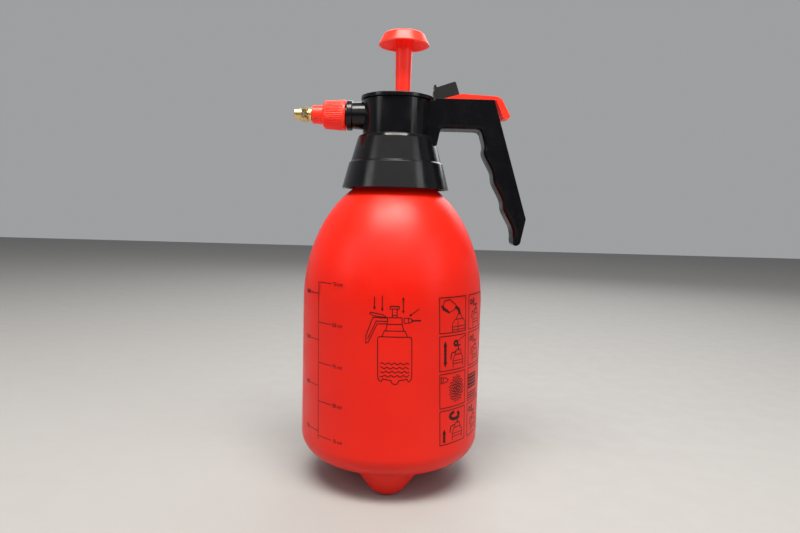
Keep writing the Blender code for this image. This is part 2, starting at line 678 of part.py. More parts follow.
def add_valve(root):
    """The spray valve that stands in the arm: body, gland, spring and the stem that opens it."""
    base = add_empty("valve_axis", (VALVE_X, 0, 0))
    base.parent = root
    bore, floor = 4 * MM, 1 * MM
    stroke = 2.6 * MM
    stem_low = VALVE_LOW + floor + stroke + GAP
    outline = [(0, VALVE_LOW), (VALVE_RADIUS, VALVE_LOW), (VALVE_RADIUS, VALVE_HIGH), (bore, VALVE_HIGH),
               (bore, VALVE_LOW + floor), (0, VALVE_LOW + floor)]
    body = add_object("valve_body", turned(outline, SMALL), base, material=pale_plastic)
    lie = (0, -math.pi / 2, 0)
    length = VALVE_X - PORT_END
    for k, side in enumerate((-1, 1)):
        place = (0, side * PORT_Y, PORT_Z)
        stub = disc(PORT_RADIUS, 3.2 * MM, length, 10)
        join(body, add_object(f"port_stub_{k}", stub, base, place, lie))
        hole = disc(0.8 * MM, 0, length + 3 * MM, 8)
        cut(body, add_object(f"port_hole_{k}", hole, base, place, lie))
    rim = 6.1 * MM
    nut = [(1.7 * MM, VALVE_HIGH + GAP), (rim, VALVE_HIGH + GAP), (rim, GLAND_HIGH), (1.7 * MM, GLAND_HIGH)]
    add_object("gland_nut", turned(nut, 6), base, material=brass)
    ring = tube(1.5 * MM, bore - 0.15 * MM, VALVE_HIGH - 1.4 * MM, VALVE_HIGH - 0.1 * MM, SMALL)
    add_object("gland_o_ring", ring, base, material=black_rubber)
    stem = [
        (0, stem_low),
        (1 * MM, stem_low),
        (1 * MM, stem_low + 1.4 * MM),
        (1.3 * MM, stem_low + 1.4 * MM),
        (1.3 * MM, SPRING_HIGH + GAP),
        (3.2 * MM, SPRING_HIGH + GAP),
        (3.2 * MM, STEM_TOP),
        (0, STEM_TOP),
    ]
    add_object("valve_stem", turned(stem, SMALL), base, material=brass)
    seal = tube(1.1 * MM, 3.2 * MM, stem_low + 0.1 * MM, stem_low + 1.2 * MM, SMALL)
    add_object("poppet_seal", seal, base, material=black_rubber)
    turns, wire, coil = 3.5, 0.35 * MM, 2.4 * MM
    steps = round(12 * turns)
    rise = SPRING_HIGH - SPRING_LOW - 2 * wire
    helix = []
    for k in range(steps + 1):
        angle = 2 * math.pi * turns * k / steps
        helix.append((coil * math.cos(angle), coil * math.sin(angle), SPRING_LOW + wire + rise * k / steps))
    add_object("valve_spring", swept(helix, wire, 6), base, material=steel)


def slope_z(x):
    """The height of the trigger's front slope."""
    return TRIGGER_FRONT[1] + (x - TRIGGER_FRONT[0]) * math.tan(SLOPE)


def add_trigger(root):
    """The long lever over the arm, with its hub, side skirts, lock slot and valve pad."""
    pivot = Vector((PIVOT_X, PIVOT_Z))

    def local(points):
        return [tuple(Vector(point) - pivot) for point in points]

    place = (PIVOT_X, 0, PIVOT_Z)
    skirt_end = 70 * MM
    outline = [TRIGGER_FRONT, TRIGGER_APEX, TRIGGER_REAR, TRIGGER_CORNER, TRIGGER_TAIL_OUT, TRIGGER_TAIL_IN]
    outline += [(77 * MM, 301.9 * MM), (skirt_end + 4 * MM, 302.2 * MM), (skirt_end, TRIGGER_SKIRT_Z)]
    outline += [(PIVOT_X + 4 * MM, PIVOT_Z - 1 * MM)]
    trigger = add_object("trigger", prism(local(outline), TRIGGER_WIDTH), root, place, material=red_plastic)
    hub = disc(PIVOT_HUB, -TRIGGER_WIDTH / 2, TRIGGER_WIDTH / 2, SMALL)
    join(trigger, add_object("trigger_hub", hub, root, place, (math.pi / 2, 0, 0)))

    top = [(PIVOT_X + 5.5 * MM, slope_z(PIVOT_X + 5.5 * MM) - TRIGGER_WALL),
           (TRIGGER_APEX[0], TRIGGER_APEX[1] - TRIGGER_WALL), (skirt_end, 303 * MM)]
    low = TRIGGER_SKIRT_Z - 6 * MM
    pocket = top + [(skirt_end, low), (PIVOT_X + 5.5 * MM, low)]
    inner = TRIGGER_WIDTH - 2 * 1.8 * MM
    cut(trigger, add_object("trigger_pocket", prism(local(pocket), inner), root, place))
    pad = disc(1.6 * MM, STEM_TOP + 0.5 * MM, TRIGGER_APEX[1] - 1 * MM, SMALL)
    join(trigger, add_object("valve_pad", pad, root, (VALVE_X, 0, 0)))
    slot = block((-0.9 * MM, -2.2 * MM, -6 * MM), (8.5 * MM, 2.2 * MM, 3 * MM))
    lock_place = (LOCK_X, 0, slope_z(LOCK_X))
    cut(trigger, add_object("lock_slot", slot, root, lock_place, (0, -SLOPE, 0)))
    hole = disc(PIN_RADIUS + 0.25 * MM, -TRIGGER_WIDTH, TRIGGER_WIDTH, SMALL)
    cut(trigger, add_object("hub_hole", hole, root, place, (math.pi / 2, 0, 0)))
    pin = disc(PIN_RADIUS, -11.5 * MM, 11.5 * MM, SMALL)
    add_object("trigger_pin", pin, root, place, (math.pi / 2, 0, 0), steel)


def add_lock_slider(root):
    """The slider on the trigger's front slope: thumb piece, neck through the slot, and foot."""
    place, turn = (LOCK_X, 0, slope_z(LOCK_X)), (0, -SLOPE, 0)
    thumb = [
        (-8.9 * MM, 0.4 * MM),
        (10.3 * MM, 0.4 * MM),
        (9.9 * MM, 9.9 * MM),
        (8.9 * MM, 10.8 * MM),
        (-5.4 * MM, 10.1 * MM),
        (-5.8 * MM, 12.3 * MM),
        (-7.3 * MM, 12.3 * MM),
        (-7.6 * MM, 8.3 * MM),
        (-9 * MM, 7.7 * MM),
    ]
    slider = add_object("lock_slider", prism(thumb, LOCK_WIDTH), root, place, turn, black_plastic)
    under = -TRIGGER_WALL - 0.6 * MM
    neck = block((0, -1.8 * MM, under - 1 * MM), (4.2 * MM, 1.8 * MM, 2 * MM))
    join(slider, add_object("slider_neck", neck, root, place, turn))
    foot = block((0, -4.5 * MM, under - 1.5 * MM), (4.2 * MM, 4.5 * MM, under))
    join(slider, add_object("slider_foot", foot, root, place, turn))


def add_nozzle(root):
    """The gasket, the knurled collar, and the brass stem, o-ring and cap, turned about -X."""
    line = add_empty("nozzle_axis", (0, 0, BARREL_Z))
    line.parent = root
    line.rotation_euler = (0, -math.pi / 2, 0)
    gasket_end = SPIGOT_END + 1.6 * MM
    gasket = tube(3 * MM, 8.6 * MM, SPIGOT_END + GAP, gasket_end, SMALL)
    add_object("nozzle_gasket", gasket, line, material=black_rubber)
    bore, front_wall, hole = 9.1 * MM, gasket_end + GAP, 3.6 * MM
    collar = [
        (bore, COLLAR_START),
        (COLLAR_RADIUS, COLLAR_START),
        (COLLAR_FRONT_RADIUS, COLLAR_STEP - 1.4 * MM),
        (COLLAR_FRONT_RADIUS - 1.6 * MM, COLLAR_STEP),
        (COLLAR_NOSE_RADIUS, COLLAR_STEP),
        (COLLAR_NOSE_RADIUS, COLLAR_END - 0.6 * MM),
        (COLLAR_NOSE_RADIUS - 0.6 * MM, COLLAR_END),
        (hole, COLLAR_END),
        (hole, front_wall),
        (bore, front_wall),
    ]
    add_object("nozzle_collar", turned(collar, MEDIUM), line, material=red_plastic)
    way, shank, shoulder, body = 1 * MM, hole - GAP, 5.4 * MM, 3.5 * MM
    stem_start, cone_start = front_wall + 1.1 * MM, NOZZLE_HEX_END + 0.6 * MM
    stem = [
        (way, stem_start),
        (shank, stem_start),
        (shank, COLLAR_END + 0.2 * MM),
        (shoulder, COLLAR_END + 0.2 * MM),
        (shoulder, NOZZLE_SHOULDER_END),
        (body, NOZZLE_SHOULDER_END),
        (body, cone_start),
        (way, cone_start + 1.6 * MM),
    ]
    add_object("nozzle_stem", turned(stem, SMALL), line, material=brass)
    groove_start, groove_end = NOZZLE_CAP_START + 1.4 * MM, NOZZLE_HEX_END - 1.4 * MM
    groove_radius, side = 4.7 * MM, 0.25 * MM
    ring = tube(body + 0.1 * MM, groove_radius - 0.15 * MM, groove_start + side, groove_end - side, SMALL)
    add_object("nozzle_o_ring", ring, line, material=black_rubber)
    nose, hex_radius = 4.55 * MM, 6.2 * MM
    outside = [
        (0, NOZZLE_CAP_START),
        (nose, NOZZLE_CAP_START),
        (nose, NOZZLE_REACH - 0.5 * MM),
        (nose - 0.5 * MM, NOZZLE_REACH),
        (0, NOZZLE_REACH),
    ]
    cap = add_object("nozzle_cap", turned(outside, 24), line, material=brass)
    hex_start = NOZZLE_CAP_START + 0.1 * MM
    join(cap, add_object("cap_hexagon", disc(hex_radius, hex_start, NOZZLE_HEX_END, 6), line))
    cap_bore, bore_end, orifice, past = 4 * MM, NOZZLE_REACH - 2.7 * MM, 0.6 * MM, 2 * MM
    inside = [
        (0, NOZZLE_CAP_START - past),
        (cap_bore, NOZZLE_CAP_START - past),
        (cap_bore, groove_start),
        (groove_radius, groove_start),
        (groove_radius, groove_end),
        (cap_bore, groove_end),
        (cap_bore, bore_end),
        (2 * MM, bore_end),
        (orifice, bore_end + 0.8 * MM),
        (orifice, NOZZLE_REACH - 1.2 * MM),
        (orifice + 1.2 * MM, NOZZLE_REACH),
        (orifice + 1.2 * MM, NOZZLE_REACH + past),
        (0, NOZZLE_REACH + past),
    ]
    cut(cap, add_object("cap_bore", turned(inside, 24), line))


def build():
    clear_scene()
    root = add_empty("bottle_axis", (AXIS_X, 0, 0))
    add_tank(root)
    add_neck_gasket(root)
    add_head_housing(root)
    add_top_cap(root)
    add_pump_cylinder(root)
    add_cylinder_foot(root)
    add_plunger(root)
    add_pipes(root)
    add_valve(root)
    add_trigger(root)
    add_lock_slider(root)
    add_nozzle(root)


build()
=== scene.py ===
"""The sprayer's finished surfaces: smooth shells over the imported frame, prints, materials and light."""

import math

import bmesh
import bpy
from mathutils import Matrix, Vector


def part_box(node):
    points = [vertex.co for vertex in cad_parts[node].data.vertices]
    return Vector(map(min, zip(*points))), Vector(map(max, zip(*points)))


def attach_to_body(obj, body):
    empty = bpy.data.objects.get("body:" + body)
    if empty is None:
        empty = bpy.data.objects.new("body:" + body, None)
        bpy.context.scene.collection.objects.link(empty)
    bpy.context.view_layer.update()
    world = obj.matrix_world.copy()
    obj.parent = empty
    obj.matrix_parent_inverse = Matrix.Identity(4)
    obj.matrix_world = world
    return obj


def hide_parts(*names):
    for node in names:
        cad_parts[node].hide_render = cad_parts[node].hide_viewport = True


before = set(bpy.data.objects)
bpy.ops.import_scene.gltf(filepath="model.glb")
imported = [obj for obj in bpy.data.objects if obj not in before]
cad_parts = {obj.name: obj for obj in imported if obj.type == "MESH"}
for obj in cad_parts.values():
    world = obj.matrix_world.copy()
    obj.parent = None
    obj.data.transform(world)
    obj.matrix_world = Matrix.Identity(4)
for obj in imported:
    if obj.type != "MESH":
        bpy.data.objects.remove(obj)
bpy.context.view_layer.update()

MM = 0.001
SKIN = 0.12 * MM

# Places and sizes read from the frame.
tank_low, tank_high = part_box("tank")
AXIS_X = (tank_low.x + tank_high.x) / 2
TANK_R = (tank_high.y - tank_low.y) / 2
LIP_Z = tank_high.z
head_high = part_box("head_housing")[1]
HANDLE_X = head_high.x - AXIS_X
ARM_TOP = head_high.z
ARM_WIDTH = 25 * MM
cap_low, cap_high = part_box("top_cap")
CAP_R, CAP_TOP = (cap_high.y - cap_low.y) / 2, cap_high.z
knob_low, knob_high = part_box("pump_knob")
PUMP_X = (knob_low.x + knob_high.x) / 2
KNOB_R, KNOB_TOP = (knob_high.y - knob_low.y) / 2, knob_high.z
rod_low, rod_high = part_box("pump_rod")
collar_low, collar_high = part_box("nozzle_collar")
BARREL_Z = (collar_low.z + collar_high.z) / 2
COLLAR_R = (collar_high.z - collar_low.z) / 2
TIP_END = AXIS_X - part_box("nozzle_cap")[0].x
lever_low, lever_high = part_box("trigger")
slider_low, slider_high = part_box("lock_slider")

# The tank's outline, as in the frame: dome, corner, wall, elliptic shoulder and neck.
WALL = 1.6 * MM
DOME_R, DOME_Z = 147 * MM, 8 * MM
CORNER_R, CORNER_Z = 18 * MM, 37 * MM
SHOULDER_Z, SHOULDER_H = 142 * MM, 101 * MM
SHOULDER_TOP_R = 31.3 * MM
NECK_R, NECK_BORE = 28.5 * MM, 26 * MM
FOOT_COUNT, FOOT_CIRCLE, FOOT_R, FOOT_BLEND = 3, 46 * MM, 18 * MM, 2.4 * MM
FOOT_SLOPE, FOOT_OUTWARD = 1.35, 1.5


# ---------------------------------------------------------------- mesh helpers

def mm(points):
    """Points given in millimetres, in metres."""
    return [tuple(value * MM for value in point) for point in points]


def link(name, data):
    """A new object in the scene."""
    made = bpy.data.objects.new(name, data)
    bpy.context.scene.collection.objects.link(made)
    return made


def solid(name, shape):
    """Link a bmesh as an object; a Boolean's helper needs nothing more."""
    bmesh.ops.recalc_face_normals(shape, faces=shape.faces)
    mesh = bpy.data.meshes.new(name)
    shape.to_mesh(mesh)
    shape.free()
    return link(name, mesh)


def smooth(mesh, sharp):
    """Shade smoothly, except over edges that turn by more than an angle in degrees."""
    mesh.shade_smooth()
    mesh.set_sharp_from_angle(angle=math.radians(sharp))


def add_mesh(name, shape, material, body=None, stands_for=(), sharp=40):
    """Link a bmesh as a piece; one without a body is shaped further and attached later."""
    piece = solid(name, shape)
    smooth(piece.data, sharp)
    piece.data.materials.append(material)
    if body:
        even_shading(piece)
        attach(piece, body, stands_for)
    return piece


def attach(piece, body, stands_for):
    """Let a finished piece ride on a CAD body, in place of CAD nodes."""
    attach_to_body(piece, body)
    if stands_for:
        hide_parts(*stands_for)


def arc(centre, radius, start, end, steps):
    """Points on a circle, from one angle in degrees to another."""
    angles = [math.radians(start + (end - start) * k / steps) for k in range(steps + 1)]
    return [(centre[0] + radius * math.cos(a), centre[1] + radius * math.sin(a)) for a in angles]


def rounded(corners, steps=4):
    """A closed outline from (x, y, radius) corners, each rounded by its own radius."""
    outline = []
    count = len(corners)
    for k, (x, y, radius) in enumerate(corners):
        here = Vector((x, y))
        if radius <= 0:
            outline.append((x, y))
            continue
        before = Vector(corners[k - 1][:2]) - here
        after = Vector(corners[(k + 1) % count][:2]) - here
        half = before.angle(after) / 2
        reach = min(radius / math.tan(half), 0.48 * before.length, 0.48 * after.length)
        start = here + before.normalized() * reach
        end = here + after.normalized() * reach
        for step in range(steps + 1):
            t = step / steps
            outline.append(tuple((1 - t) ** 2 * start + 2 * t * (1 - t) * here + t * t * end))
    return outline


def smooth_curve(points, steps):
    """A Catmull-Rom curve through the points."""
    points = [Vector(point) for point in points]
    padded = [2 * points[0] - points[1]] + points + [2 * points[-1] - points[-2]]
    curve = []
    for a, b, c, d in zip(padded, padded[1:], padded[2:], padded[3:]):
        for k in range(steps):
            t = k / steps
            bend = (2 * a - 5 * b + 4 * c - d) * t**2 + (3 * b - 3 * c + d - a) * t**3
            curve.append(tuple(0.5 * (2 * b + (c - a) * t + bend)))
    curve.append(tuple(points[-1]))
    return curve


def turned(outline, sides, axis_x=AXIS_X, shape=None, along_x=False):
    """A closed surface turned from (radius, height) points about an upright axis.

    shape(radius, height, angle) may change a point's radius and height.  With along_x the
    height runs along -X from the bottle's axis, at the barrel's height.
    """
    result = bmesh.new()
    rings = []
    for radius, height in outline:
        ring = []
        for k in range(sides if radius > 0 else 1):
            angle = 2 * math.pi * k / sides
            r, h = shape(radius, height, angle) if shape else (radius, height)
            if along_x:
                place = (AXIS_X - h, r * math.cos(angle), BARREL_Z + r * math.sin(angle))
            else:
                place = (axis_x + r * math.cos(angle), r * math.sin(angle), h)
            ring.append(result.verts.new(place))
        rings.append(ring)
    for ring, after in zip(rings, rings[1:] + rings[:1]):
        if len(ring) == 1 and len(after) == 1:
            continue
        for k in range(sides):
            n = k + 1
            corners = [ring[k % len(ring)], ring[n % len(ring)],
                       after[n % len(after)], after[k % len(after)]]
            result.faces.new(list(dict.fromkeys(corners)))
    return result


def prism(outline, width, origin=AXIS_X):
    """The solid over a closed outline of (x, z) points from an origin on X, centred across Y."""
    shape = bmesh.new()
    face = shape.faces.new([shape.verts.new((origin + x, -width / 2, z)) for x, z in outline])
    far = bmesh.ops.extrude_face_region(shape, geom=[face])
    moved = [item for item in far["geom"] if isinstance(item, bmesh.types.BMVert)]
    bmesh.ops.translate(shape, verts=moved, vec=(0, width, 0))
    return shape


def pin(radius, low, high):
    """A round helper on the pump's axis that reaches beyond both heights."""
    low, high = low - 10 * MM, high + 10 * MM
    return turned([(0, low), (radius, low), (radius, high), (0, high)], 64, PUMP_X)


def block(place, low, high):
    """A box between two corners in millimetres, in a frame of its own."""
    low, high = Vector(low) * MM, Vector(high) * MM
    shape = bmesh.new()
    stretch = place @ Matrix.Translation((low + high) / 2) @ Matrix.Diagonal((*(high - low), 1))
    bmesh.ops.create_cube(shape, size=1, matrix=stretch)
    return shape


def carve(piece, shapes, operation="DIFFERENCE"):
    """Apply Booleans with helper shapes to a piece's mesh."""
    tools = [solid("helper", shape) for shape in shapes]
    for tool in tools:
        modifier = piece.modifiers.new(tool.name, "BOOLEAN")
        modifier.object = tool
        modifier.operation = operation
        modifier.solver = "EXACT"
    settle(piece)
    for tool in tools:
        bpy.data.objects.remove(tool)


def settle(piece):
    """Apply a piece's modifiers to its mesh."""
    bpy.context.view_layer.update()
    graph = bpy.context.evaluated_depsgraph_get()
    made = bpy.data.meshes.new_from_object(piece.evaluated_get(graph))
    piece.modifiers.clear()
    piece.data = made


def soften(piece, width, segments, angle):
    """Round the edges that turn by more than an angle in degrees."""
    bevel = piece.modifiers.new("bevel", "BEVEL")
    bevel.width = width
    bevel.segments = segments
    bevel.limit_method = "ANGLE"
    bevel.angle_limit = math.radians(angle)
    bevel.use_clamp_overlap = True
    settle(piece)
    smooth(piece.data, 38)
    even_shading(piece)


def even_shading(piece):
    """Shade by the larger faces, so that walls stay straight beside their rounded edges."""
    modifier = piece.modifiers.new("shading", "WEIGHTED_NORMAL")
    modifier.keep_sharp = True
    settle(piece)


# ---------------------------------------------------------------- materials

# The part of a noise's values that a material's spread is laid over.
NOISE_SPAN = 0.35, 0.65


def map_range(nodes, links, driver, start, end, low, high):
    """A node that takes a driver from start..end to low..high."""
    node = nodes.new("ShaderNodeMapRange")
    for socket, value in (("From Min", start), ("From Max", end), ("To Min", low), ("To Max", high)):
        node.inputs[socket].default_value = value
    links.new(driver, node.inputs["Value"])
    return node.outputs["Result"]


class Shader:
    """A small helper that wires a Principled material's nodes."""

    def __init__(self, name, colour, roughness, metallic=0.0):
        self.material = bpy.data.materials.new(name)
        self.material.use_nodes = True
        self.nodes = self.material.node_tree.nodes
        self.links = self.material.node_tree.links
        self.surface = self.nodes["Principled BSDF"]
        self.surface.inputs["Base Color"].default_value = (*colour, 1)
        self.surface.inputs["Roughness"].default_value = roughness
        self.surface.inputs["Metallic"].default_value = metallic
        self.place = self.nodes.new("ShaderNodeTexCoord").outputs["Object"]

    def set(self, socket, value):
        self.surface.inputs[socket].default_value = value

    def depth(self, weight, scale):
        """Let light a little way in, over a scale in metres."""
        self.set("Subsurface Weight", weight)
        self.set("Subsurface Scale", scale)

    def painted_glow(self, colour, strength):
        """A weak even emission: painted light that lifts shaded sides, standing in for the light that
        comes through thin plastic.
        """
        self.set("Emission Color", (*colour, 1))
        self.set("Emission Strength", strength)

    def noise(self, scale, detail, stretch=None):
        """Noise over the piece, with scale in cycles per metre."""
        node = self.nodes.new("ShaderNodeTexNoise")
        node.inputs["Scale"].default_value = scale
        node.inputs["Detail"].default_value = detail
        vector = self.place
        if stretch:
            mapping = self.nodes.new("ShaderNodeMapping")
            mapping.inputs["Scale"].default_value = stretch
            self.links.new(vector, mapping.inputs["Vector"])
            vector = mapping.outputs["Vector"]
        self.links.new(vector, node.inputs["Vector"])
        return node.outputs["Fac"]

    def vary_roughness(self, driver, low, high):
        """Drive the roughness between two values."""
        value = map_range(self.nodes, self.links, driver, *NOISE_SPAN, low, high)
        self.links.new(value, self.surface.inputs["Roughness"])

    def tint(self, driver, first, second, start=NOISE_SPAN[0], end=NOISE_SPAN[1]):
        """Drive the base colour between two colours."""
        node = self.nodes.new("ShaderNodeValToRGB")
        ends = node.color_ramp.elements
        ends[0].position, ends[0].color = start, (*first, 1)
        ends[1].position, ends[1].color = end, (*second, 1)
        self.links.new(driver, node.inputs["Fac"])
        self.links.new(node.outputs["Color"], self.surface.inputs["Base Color"])

    def bump(self, drivers, distance, strength):
        """Raise the surface by the summed drivers, over a distance in metres."""
        height = drivers[0]
        for other in drivers[1:]:
            add = self.nodes.new("ShaderNodeMath")
            self.links.new(height, add.inputs[0])
            self.links.new(other, add.inputs[1])
            height = add.outputs[0]
        node = self.nodes.new("ShaderNodeBump")
        node.inputs["Strength"].default_value = strength
        node.inputs["Distance"].default_value = distance
        self.links.new(height, node.inputs["Height"])
        self.links.new(node.outputs["Normal"], self.surface.inputs["Normal"])


def bottle_plastic():
    """Blow-moulded red-orange plastic: satin, slightly translucent, faintly uneven."""
    shader = Shader("bottle_plastic", (0.68, 0.010, 0.002), 0.36)
    shader.tint(shader.noise(9, 2), (0.64, 0.008, 0.001), (0.71, 0.013, 0.003), 0.3, 0.7)
    shader.vary_roughness(shader.noise(60, 4), 0.33, 0.42)
    shader.depth(0.15, 5 * MM)
    shader.set("Subsurface Radius", (1.0, 0.08, 0.03))
    shader.set("Specular IOR Level", 0.27)
    # painted light: a weak red emission lifts the bottle's shaded sides, in place of light through the
    # plastic
    shader.painted_glow((0.9, 0.004, 0.002), 0.05)
    shader.bump([shader.noise(22, 2), shader.noise(900, 2)], 0.10 * MM, 0.35)
    return shader.material


def red_moulding():
    """Injection-moulded red-orange plastic, a little lighter than the bottle."""
    shader = Shader("red_moulding", (0.80, 0.028, 0.009), 0.34)
    shader.tint(shader.noise(35, 2), (0.76, 0.023, 0.007), (0.84, 0.034, 0.011), 0.3, 0.7)
    shader.vary_roughness(shader.noise(240, 4), 0.30, 0.40)
    shader.depth(0.15, 3 * MM)
    shader.set("Subsurface Radius", (1.0, 0.18, 0.08))
    shader.set("Specular IOR Level", 0.4)
    # painted light: a red emission lifts the shaded undersides of knob, rod, collar and lever, in place
    # of light through the plastic
    shader.painted_glow((0.95, 0.008, 0.010), 0.25)
    shader.bump([shader.noise(120, 2), shader.noise(1800, 2)], 0.05 * MM, 0.4)
    return shader.material


def black_moulding(name="black_moulding", roughness=0.14, colour=(0.004, 0.004, 0.005), gloss=0.31):
    """Polished black plastic with faint sink waves and handling marks."""
    shader = Shader(name, colour, roughness)
    shader.vary_roughness(shader.noise(90, 5), roughness - 0.03, roughness + 0.09)
    shader.set("Specular IOR Level", gloss)
    shader.bump([shader.noise(28, 2), shader.noise(700, 3)], 0.08 * MM, 0.35)
    return shader.material


def brass_metal():
    """Turned brass: fine tool rings across the axis and a slight stain."""
    shader = Shader("turned_brass", (0.74, 0.57, 0.27), 0.24, 1.0)
    rings = shader.noise(1.0, 2, (9000, 60, 60))
    shader.tint(shader.noise(160, 3), (0.64, 0.47, 0.20), (0.82, 0.66, 0.34), 0.3, 0.7)
    shader.vary_roughness(shader.noise(420, 3), 0.18, 0.34)
    shader.bump([rings], 0.03 * MM, 0.5)
    return shader.material


def rubber():
    """Matt black seal rubber."""
    shader = Shader("seal_rubber", (0.018, 0.018, 0.019), 0.68)
    shader.vary_roughness(shader.noise(500, 3), 0.6, 0.78)
    shader.bump([shader.noise(1500, 3)], 0.05 * MM, 0.5)
    return shader.material


def pale_plastic():
    """The inner parts' plain off-white plastic."""
    shader = Shader("pale_plastic", (0.72, 0.71, 0.67), 0.4)
    shader.tint(shader.noise(60, 2), (0.68, 0.67, 0.62), (0.76, 0.75, 0.71))
    shader.vary_roughness(shader.noise(300, 3), 0.35, 0.5)
    shader.depth(0.2, 3 * MM)
    shader.bump([shader.noise(900, 2)], 0.04 * MM, 0.4)
    return shader.material


def spring_steel():
    """Bright drawn wire."""
    shader = Shader("spring_steel", (0.62, 0.62, 0.62), 0.28, 1.0)
    shader.vary_roughness(shader.noise(900, 3), 0.2, 0.38)
    shader.bump([shader.noise(2500, 2)], 0.02 * MM, 0.4)
    return shader.material


def printing_ink():
    """Screen-printed ink, thin enough for the red to warm it."""
    shader = Shader("printing_ink", (0.030, 0.004, 0.003), 0.5)
    shader.tint(shader.noise(1400, 3), (0.022, 0.003, 0.003), (0.06, 0.006, 0.004), 0.4, 0.8)
    shader.set("Specular IOR Level", 0.2)
    shader.bump([shader.noise(2600, 2)], 0.02 * MM, 0.4)
    return shader.material


BOTTLE = bottle_plastic()
RED = red_moulding()
BLACK = black_moulding()
GRIP_BLACK = black_moulding("grip_black", 0.22, gloss=0.15)
SATIN_BLACK = black_moulding("satin_black", 0.42, (0.011, 0.011, 0.012))
BRASS = brass_metal()
RUBBER = rubber()
PALE = pale_plastic()
STEEL = spring_steel()
INK = printing_ink()


# ---------------------------------------------------------------- tank

def blend_low(a, b, width):
    """The lower of two heights, with a fillet of a given width where they meet."""
    h = max(0.0, min(1.0, 0.5 + 0.5 * (b - a) / width))
    return b * (1 - h) + a * h - width * h * (1 - h)


def foot_height(radius, angle):
    """Height of the nearest foot's surface below a point of the base."""
    spacing = 2 * math.pi / FOOT_COUNT
    nearest = (angle + math.pi / 2 + spacing / 2) % spacing - spacing / 2
    along = radius * math.cos(nearest) - FOOT_CIRCLE
    across = radius * math.sin(nearest)
    if along > 0:
        along *= FOOT_OUTWARD
    distance = math.hypot(along, across)
    edge = FOOT_R * math.sin(math.radians(45))
    if distance < edge:
        height = FOOT_R - math.sqrt(FOOT_R**2 - distance**2)
    else:
        height = FOOT_R - edge + (distance - edge) * FOOT_SLOPE
    return max(height, 0.35 * MM * (distance / edge) ** 2)


def base_shape(wall):
    """The base's shape function: feet blended into the dome and the rounded corner."""
    limit = CORNER_Z - 3 * MM

    def shape(radius, height, angle):
        if height > limit:
            return radius, height
        foot = foot_height(radius, angle) + wall
        blended = blend_low(height, foot, FOOT_BLEND)
        return radius, max(blended, wall)

    return shape


def tank_section(wall):
    """The tank's outline from the base's middle up to the neck."""
    outer = TANK_R - SKIN
    dome = (0, DOME_Z + DOME_R)
    corner = (outer - CORNER_R, CORNER_Z)
    lean = math.degrees(math.atan2(corner[1] - dome[1], corner[0]))
    radius, height = outer - wall, SHOULDER_H - wall
    last = math.acos((NECK_BORE if wall else SHOULDER_TOP_R) / radius)
    section = arc(dome, DOME_R - wall, -90, lean, 44)[:-1]
    section += arc(corner, CORNER_R - wall, lean, 0, 12)
    section[0] = (0, DOME_Z + wall)
    for k in range(33):
        angle = last * k / 32
        section.append((radius * math.cos(angle), SHOULDER_Z + height * math.sin(angle)))
    return section


def add_tank():
    """The bottle: its hollow wall with the feet blended in, and the thread on its neck."""
    root = 233.9 * MM
    neck = [
        (NECK_R + 1.2 * MM, root),
        (NECK_R + 0.3 * MM, root + 0.6 * MM),
        (NECK_R, root + 1.5 * MM),
        (NECK_R, LIP_Z - 0.8 * MM),
        (NECK_R - 0.3 * MM, LIP_Z - 0.2 * MM),
        (NECK_R - 0.8 * MM, LIP_Z),
        (NECK_BORE + 0.5 * MM, LIP_Z),
        (NECK_BORE, LIP_Z - 0.5 * MM),
    ]
    inner = tank_section(WALL)
    outline = tank_section(0) + neck + list(reversed(inner))
    outside, inside = base_shape(0), base_shape(WALL)

    def shape(radius, height, angle):
        chosen = inside if (radius, height) in inner else outside
        return chosen(radius, height, angle)

    surface = turned(outline, 144, shape=shape)
    add_mesh("tank_shell", surface, BOTTLE, "tank", ["tank"])
    add_mesh("tank_thread", thread(), BOTTLE, "tank")


def thread():
    """The ridge wound round the neck, which fades out at both ends."""
    pitch, turns, start, steps = 5 * MM, 1.5, 239 * MM, 96
    profile = ((-0.6, -1.2), (2.1, -0.5), (2.1, 0.5), (-0.6, 1.2))
    ridge = bmesh.new()
    sections = []
    for k in range(steps + 1):
        angle = 2 * math.pi * turns * k / steps
        fade = min(1.0, 8 * k / steps, 8 * (steps - k) / steps)
        lift = start + pitch * turns * k / steps
        section = []
        for out, up in profile:
            r = NECK_R + (out * fade if out > 0 else out) * MM
            place = (AXIS_X + r * math.cos(angle), r * math.sin(angle), lift + up * MM)
            section.append(ridge.verts.new(place))
        sections.append(section)
    for section, after in zip(sections, sections[1:]):
        for k in range(4):
            n = (k + 1) % 4
            ridge.faces.new((section[k], section[n], after[n], after[k]))
    ridge.faces.new(sections[0])
    ridge.faces.new(sections[-1])
    return ridge


# ---------------------------------------------------------------- head

SKIRT_Z, STEP_Z = 231.5 * MM, 251.8 * MM
SKIRT_R, STEP_R = 42.6 * MM, 37.3 * MM
CONE_Z, CONE_R, CONE_TOP_Z, CONE_TOP_R = 252.8 * MM, 35.7 * MM, 270.7 * MM, 30.8 * MM
HEAD_R, HEAD_BORE, HEAD_TOP = 27.1 * MM, 24.4 * MM, 300.3 * MM
DECK_LOW, DECK_HIGH = 261.6 * MM, 265 * MM
THREAD_ROOT, THREAD_WALL, THREAD_LOW, RECESS_TOP = 31.1 * MM, 2.2 * MM, 236 * MM, 248.4 * MM
SOCKET_BORE, SOCKET_R, SOCKET_TOP = 14.7 * MM, 16.4 * MM, 291.5 * MM


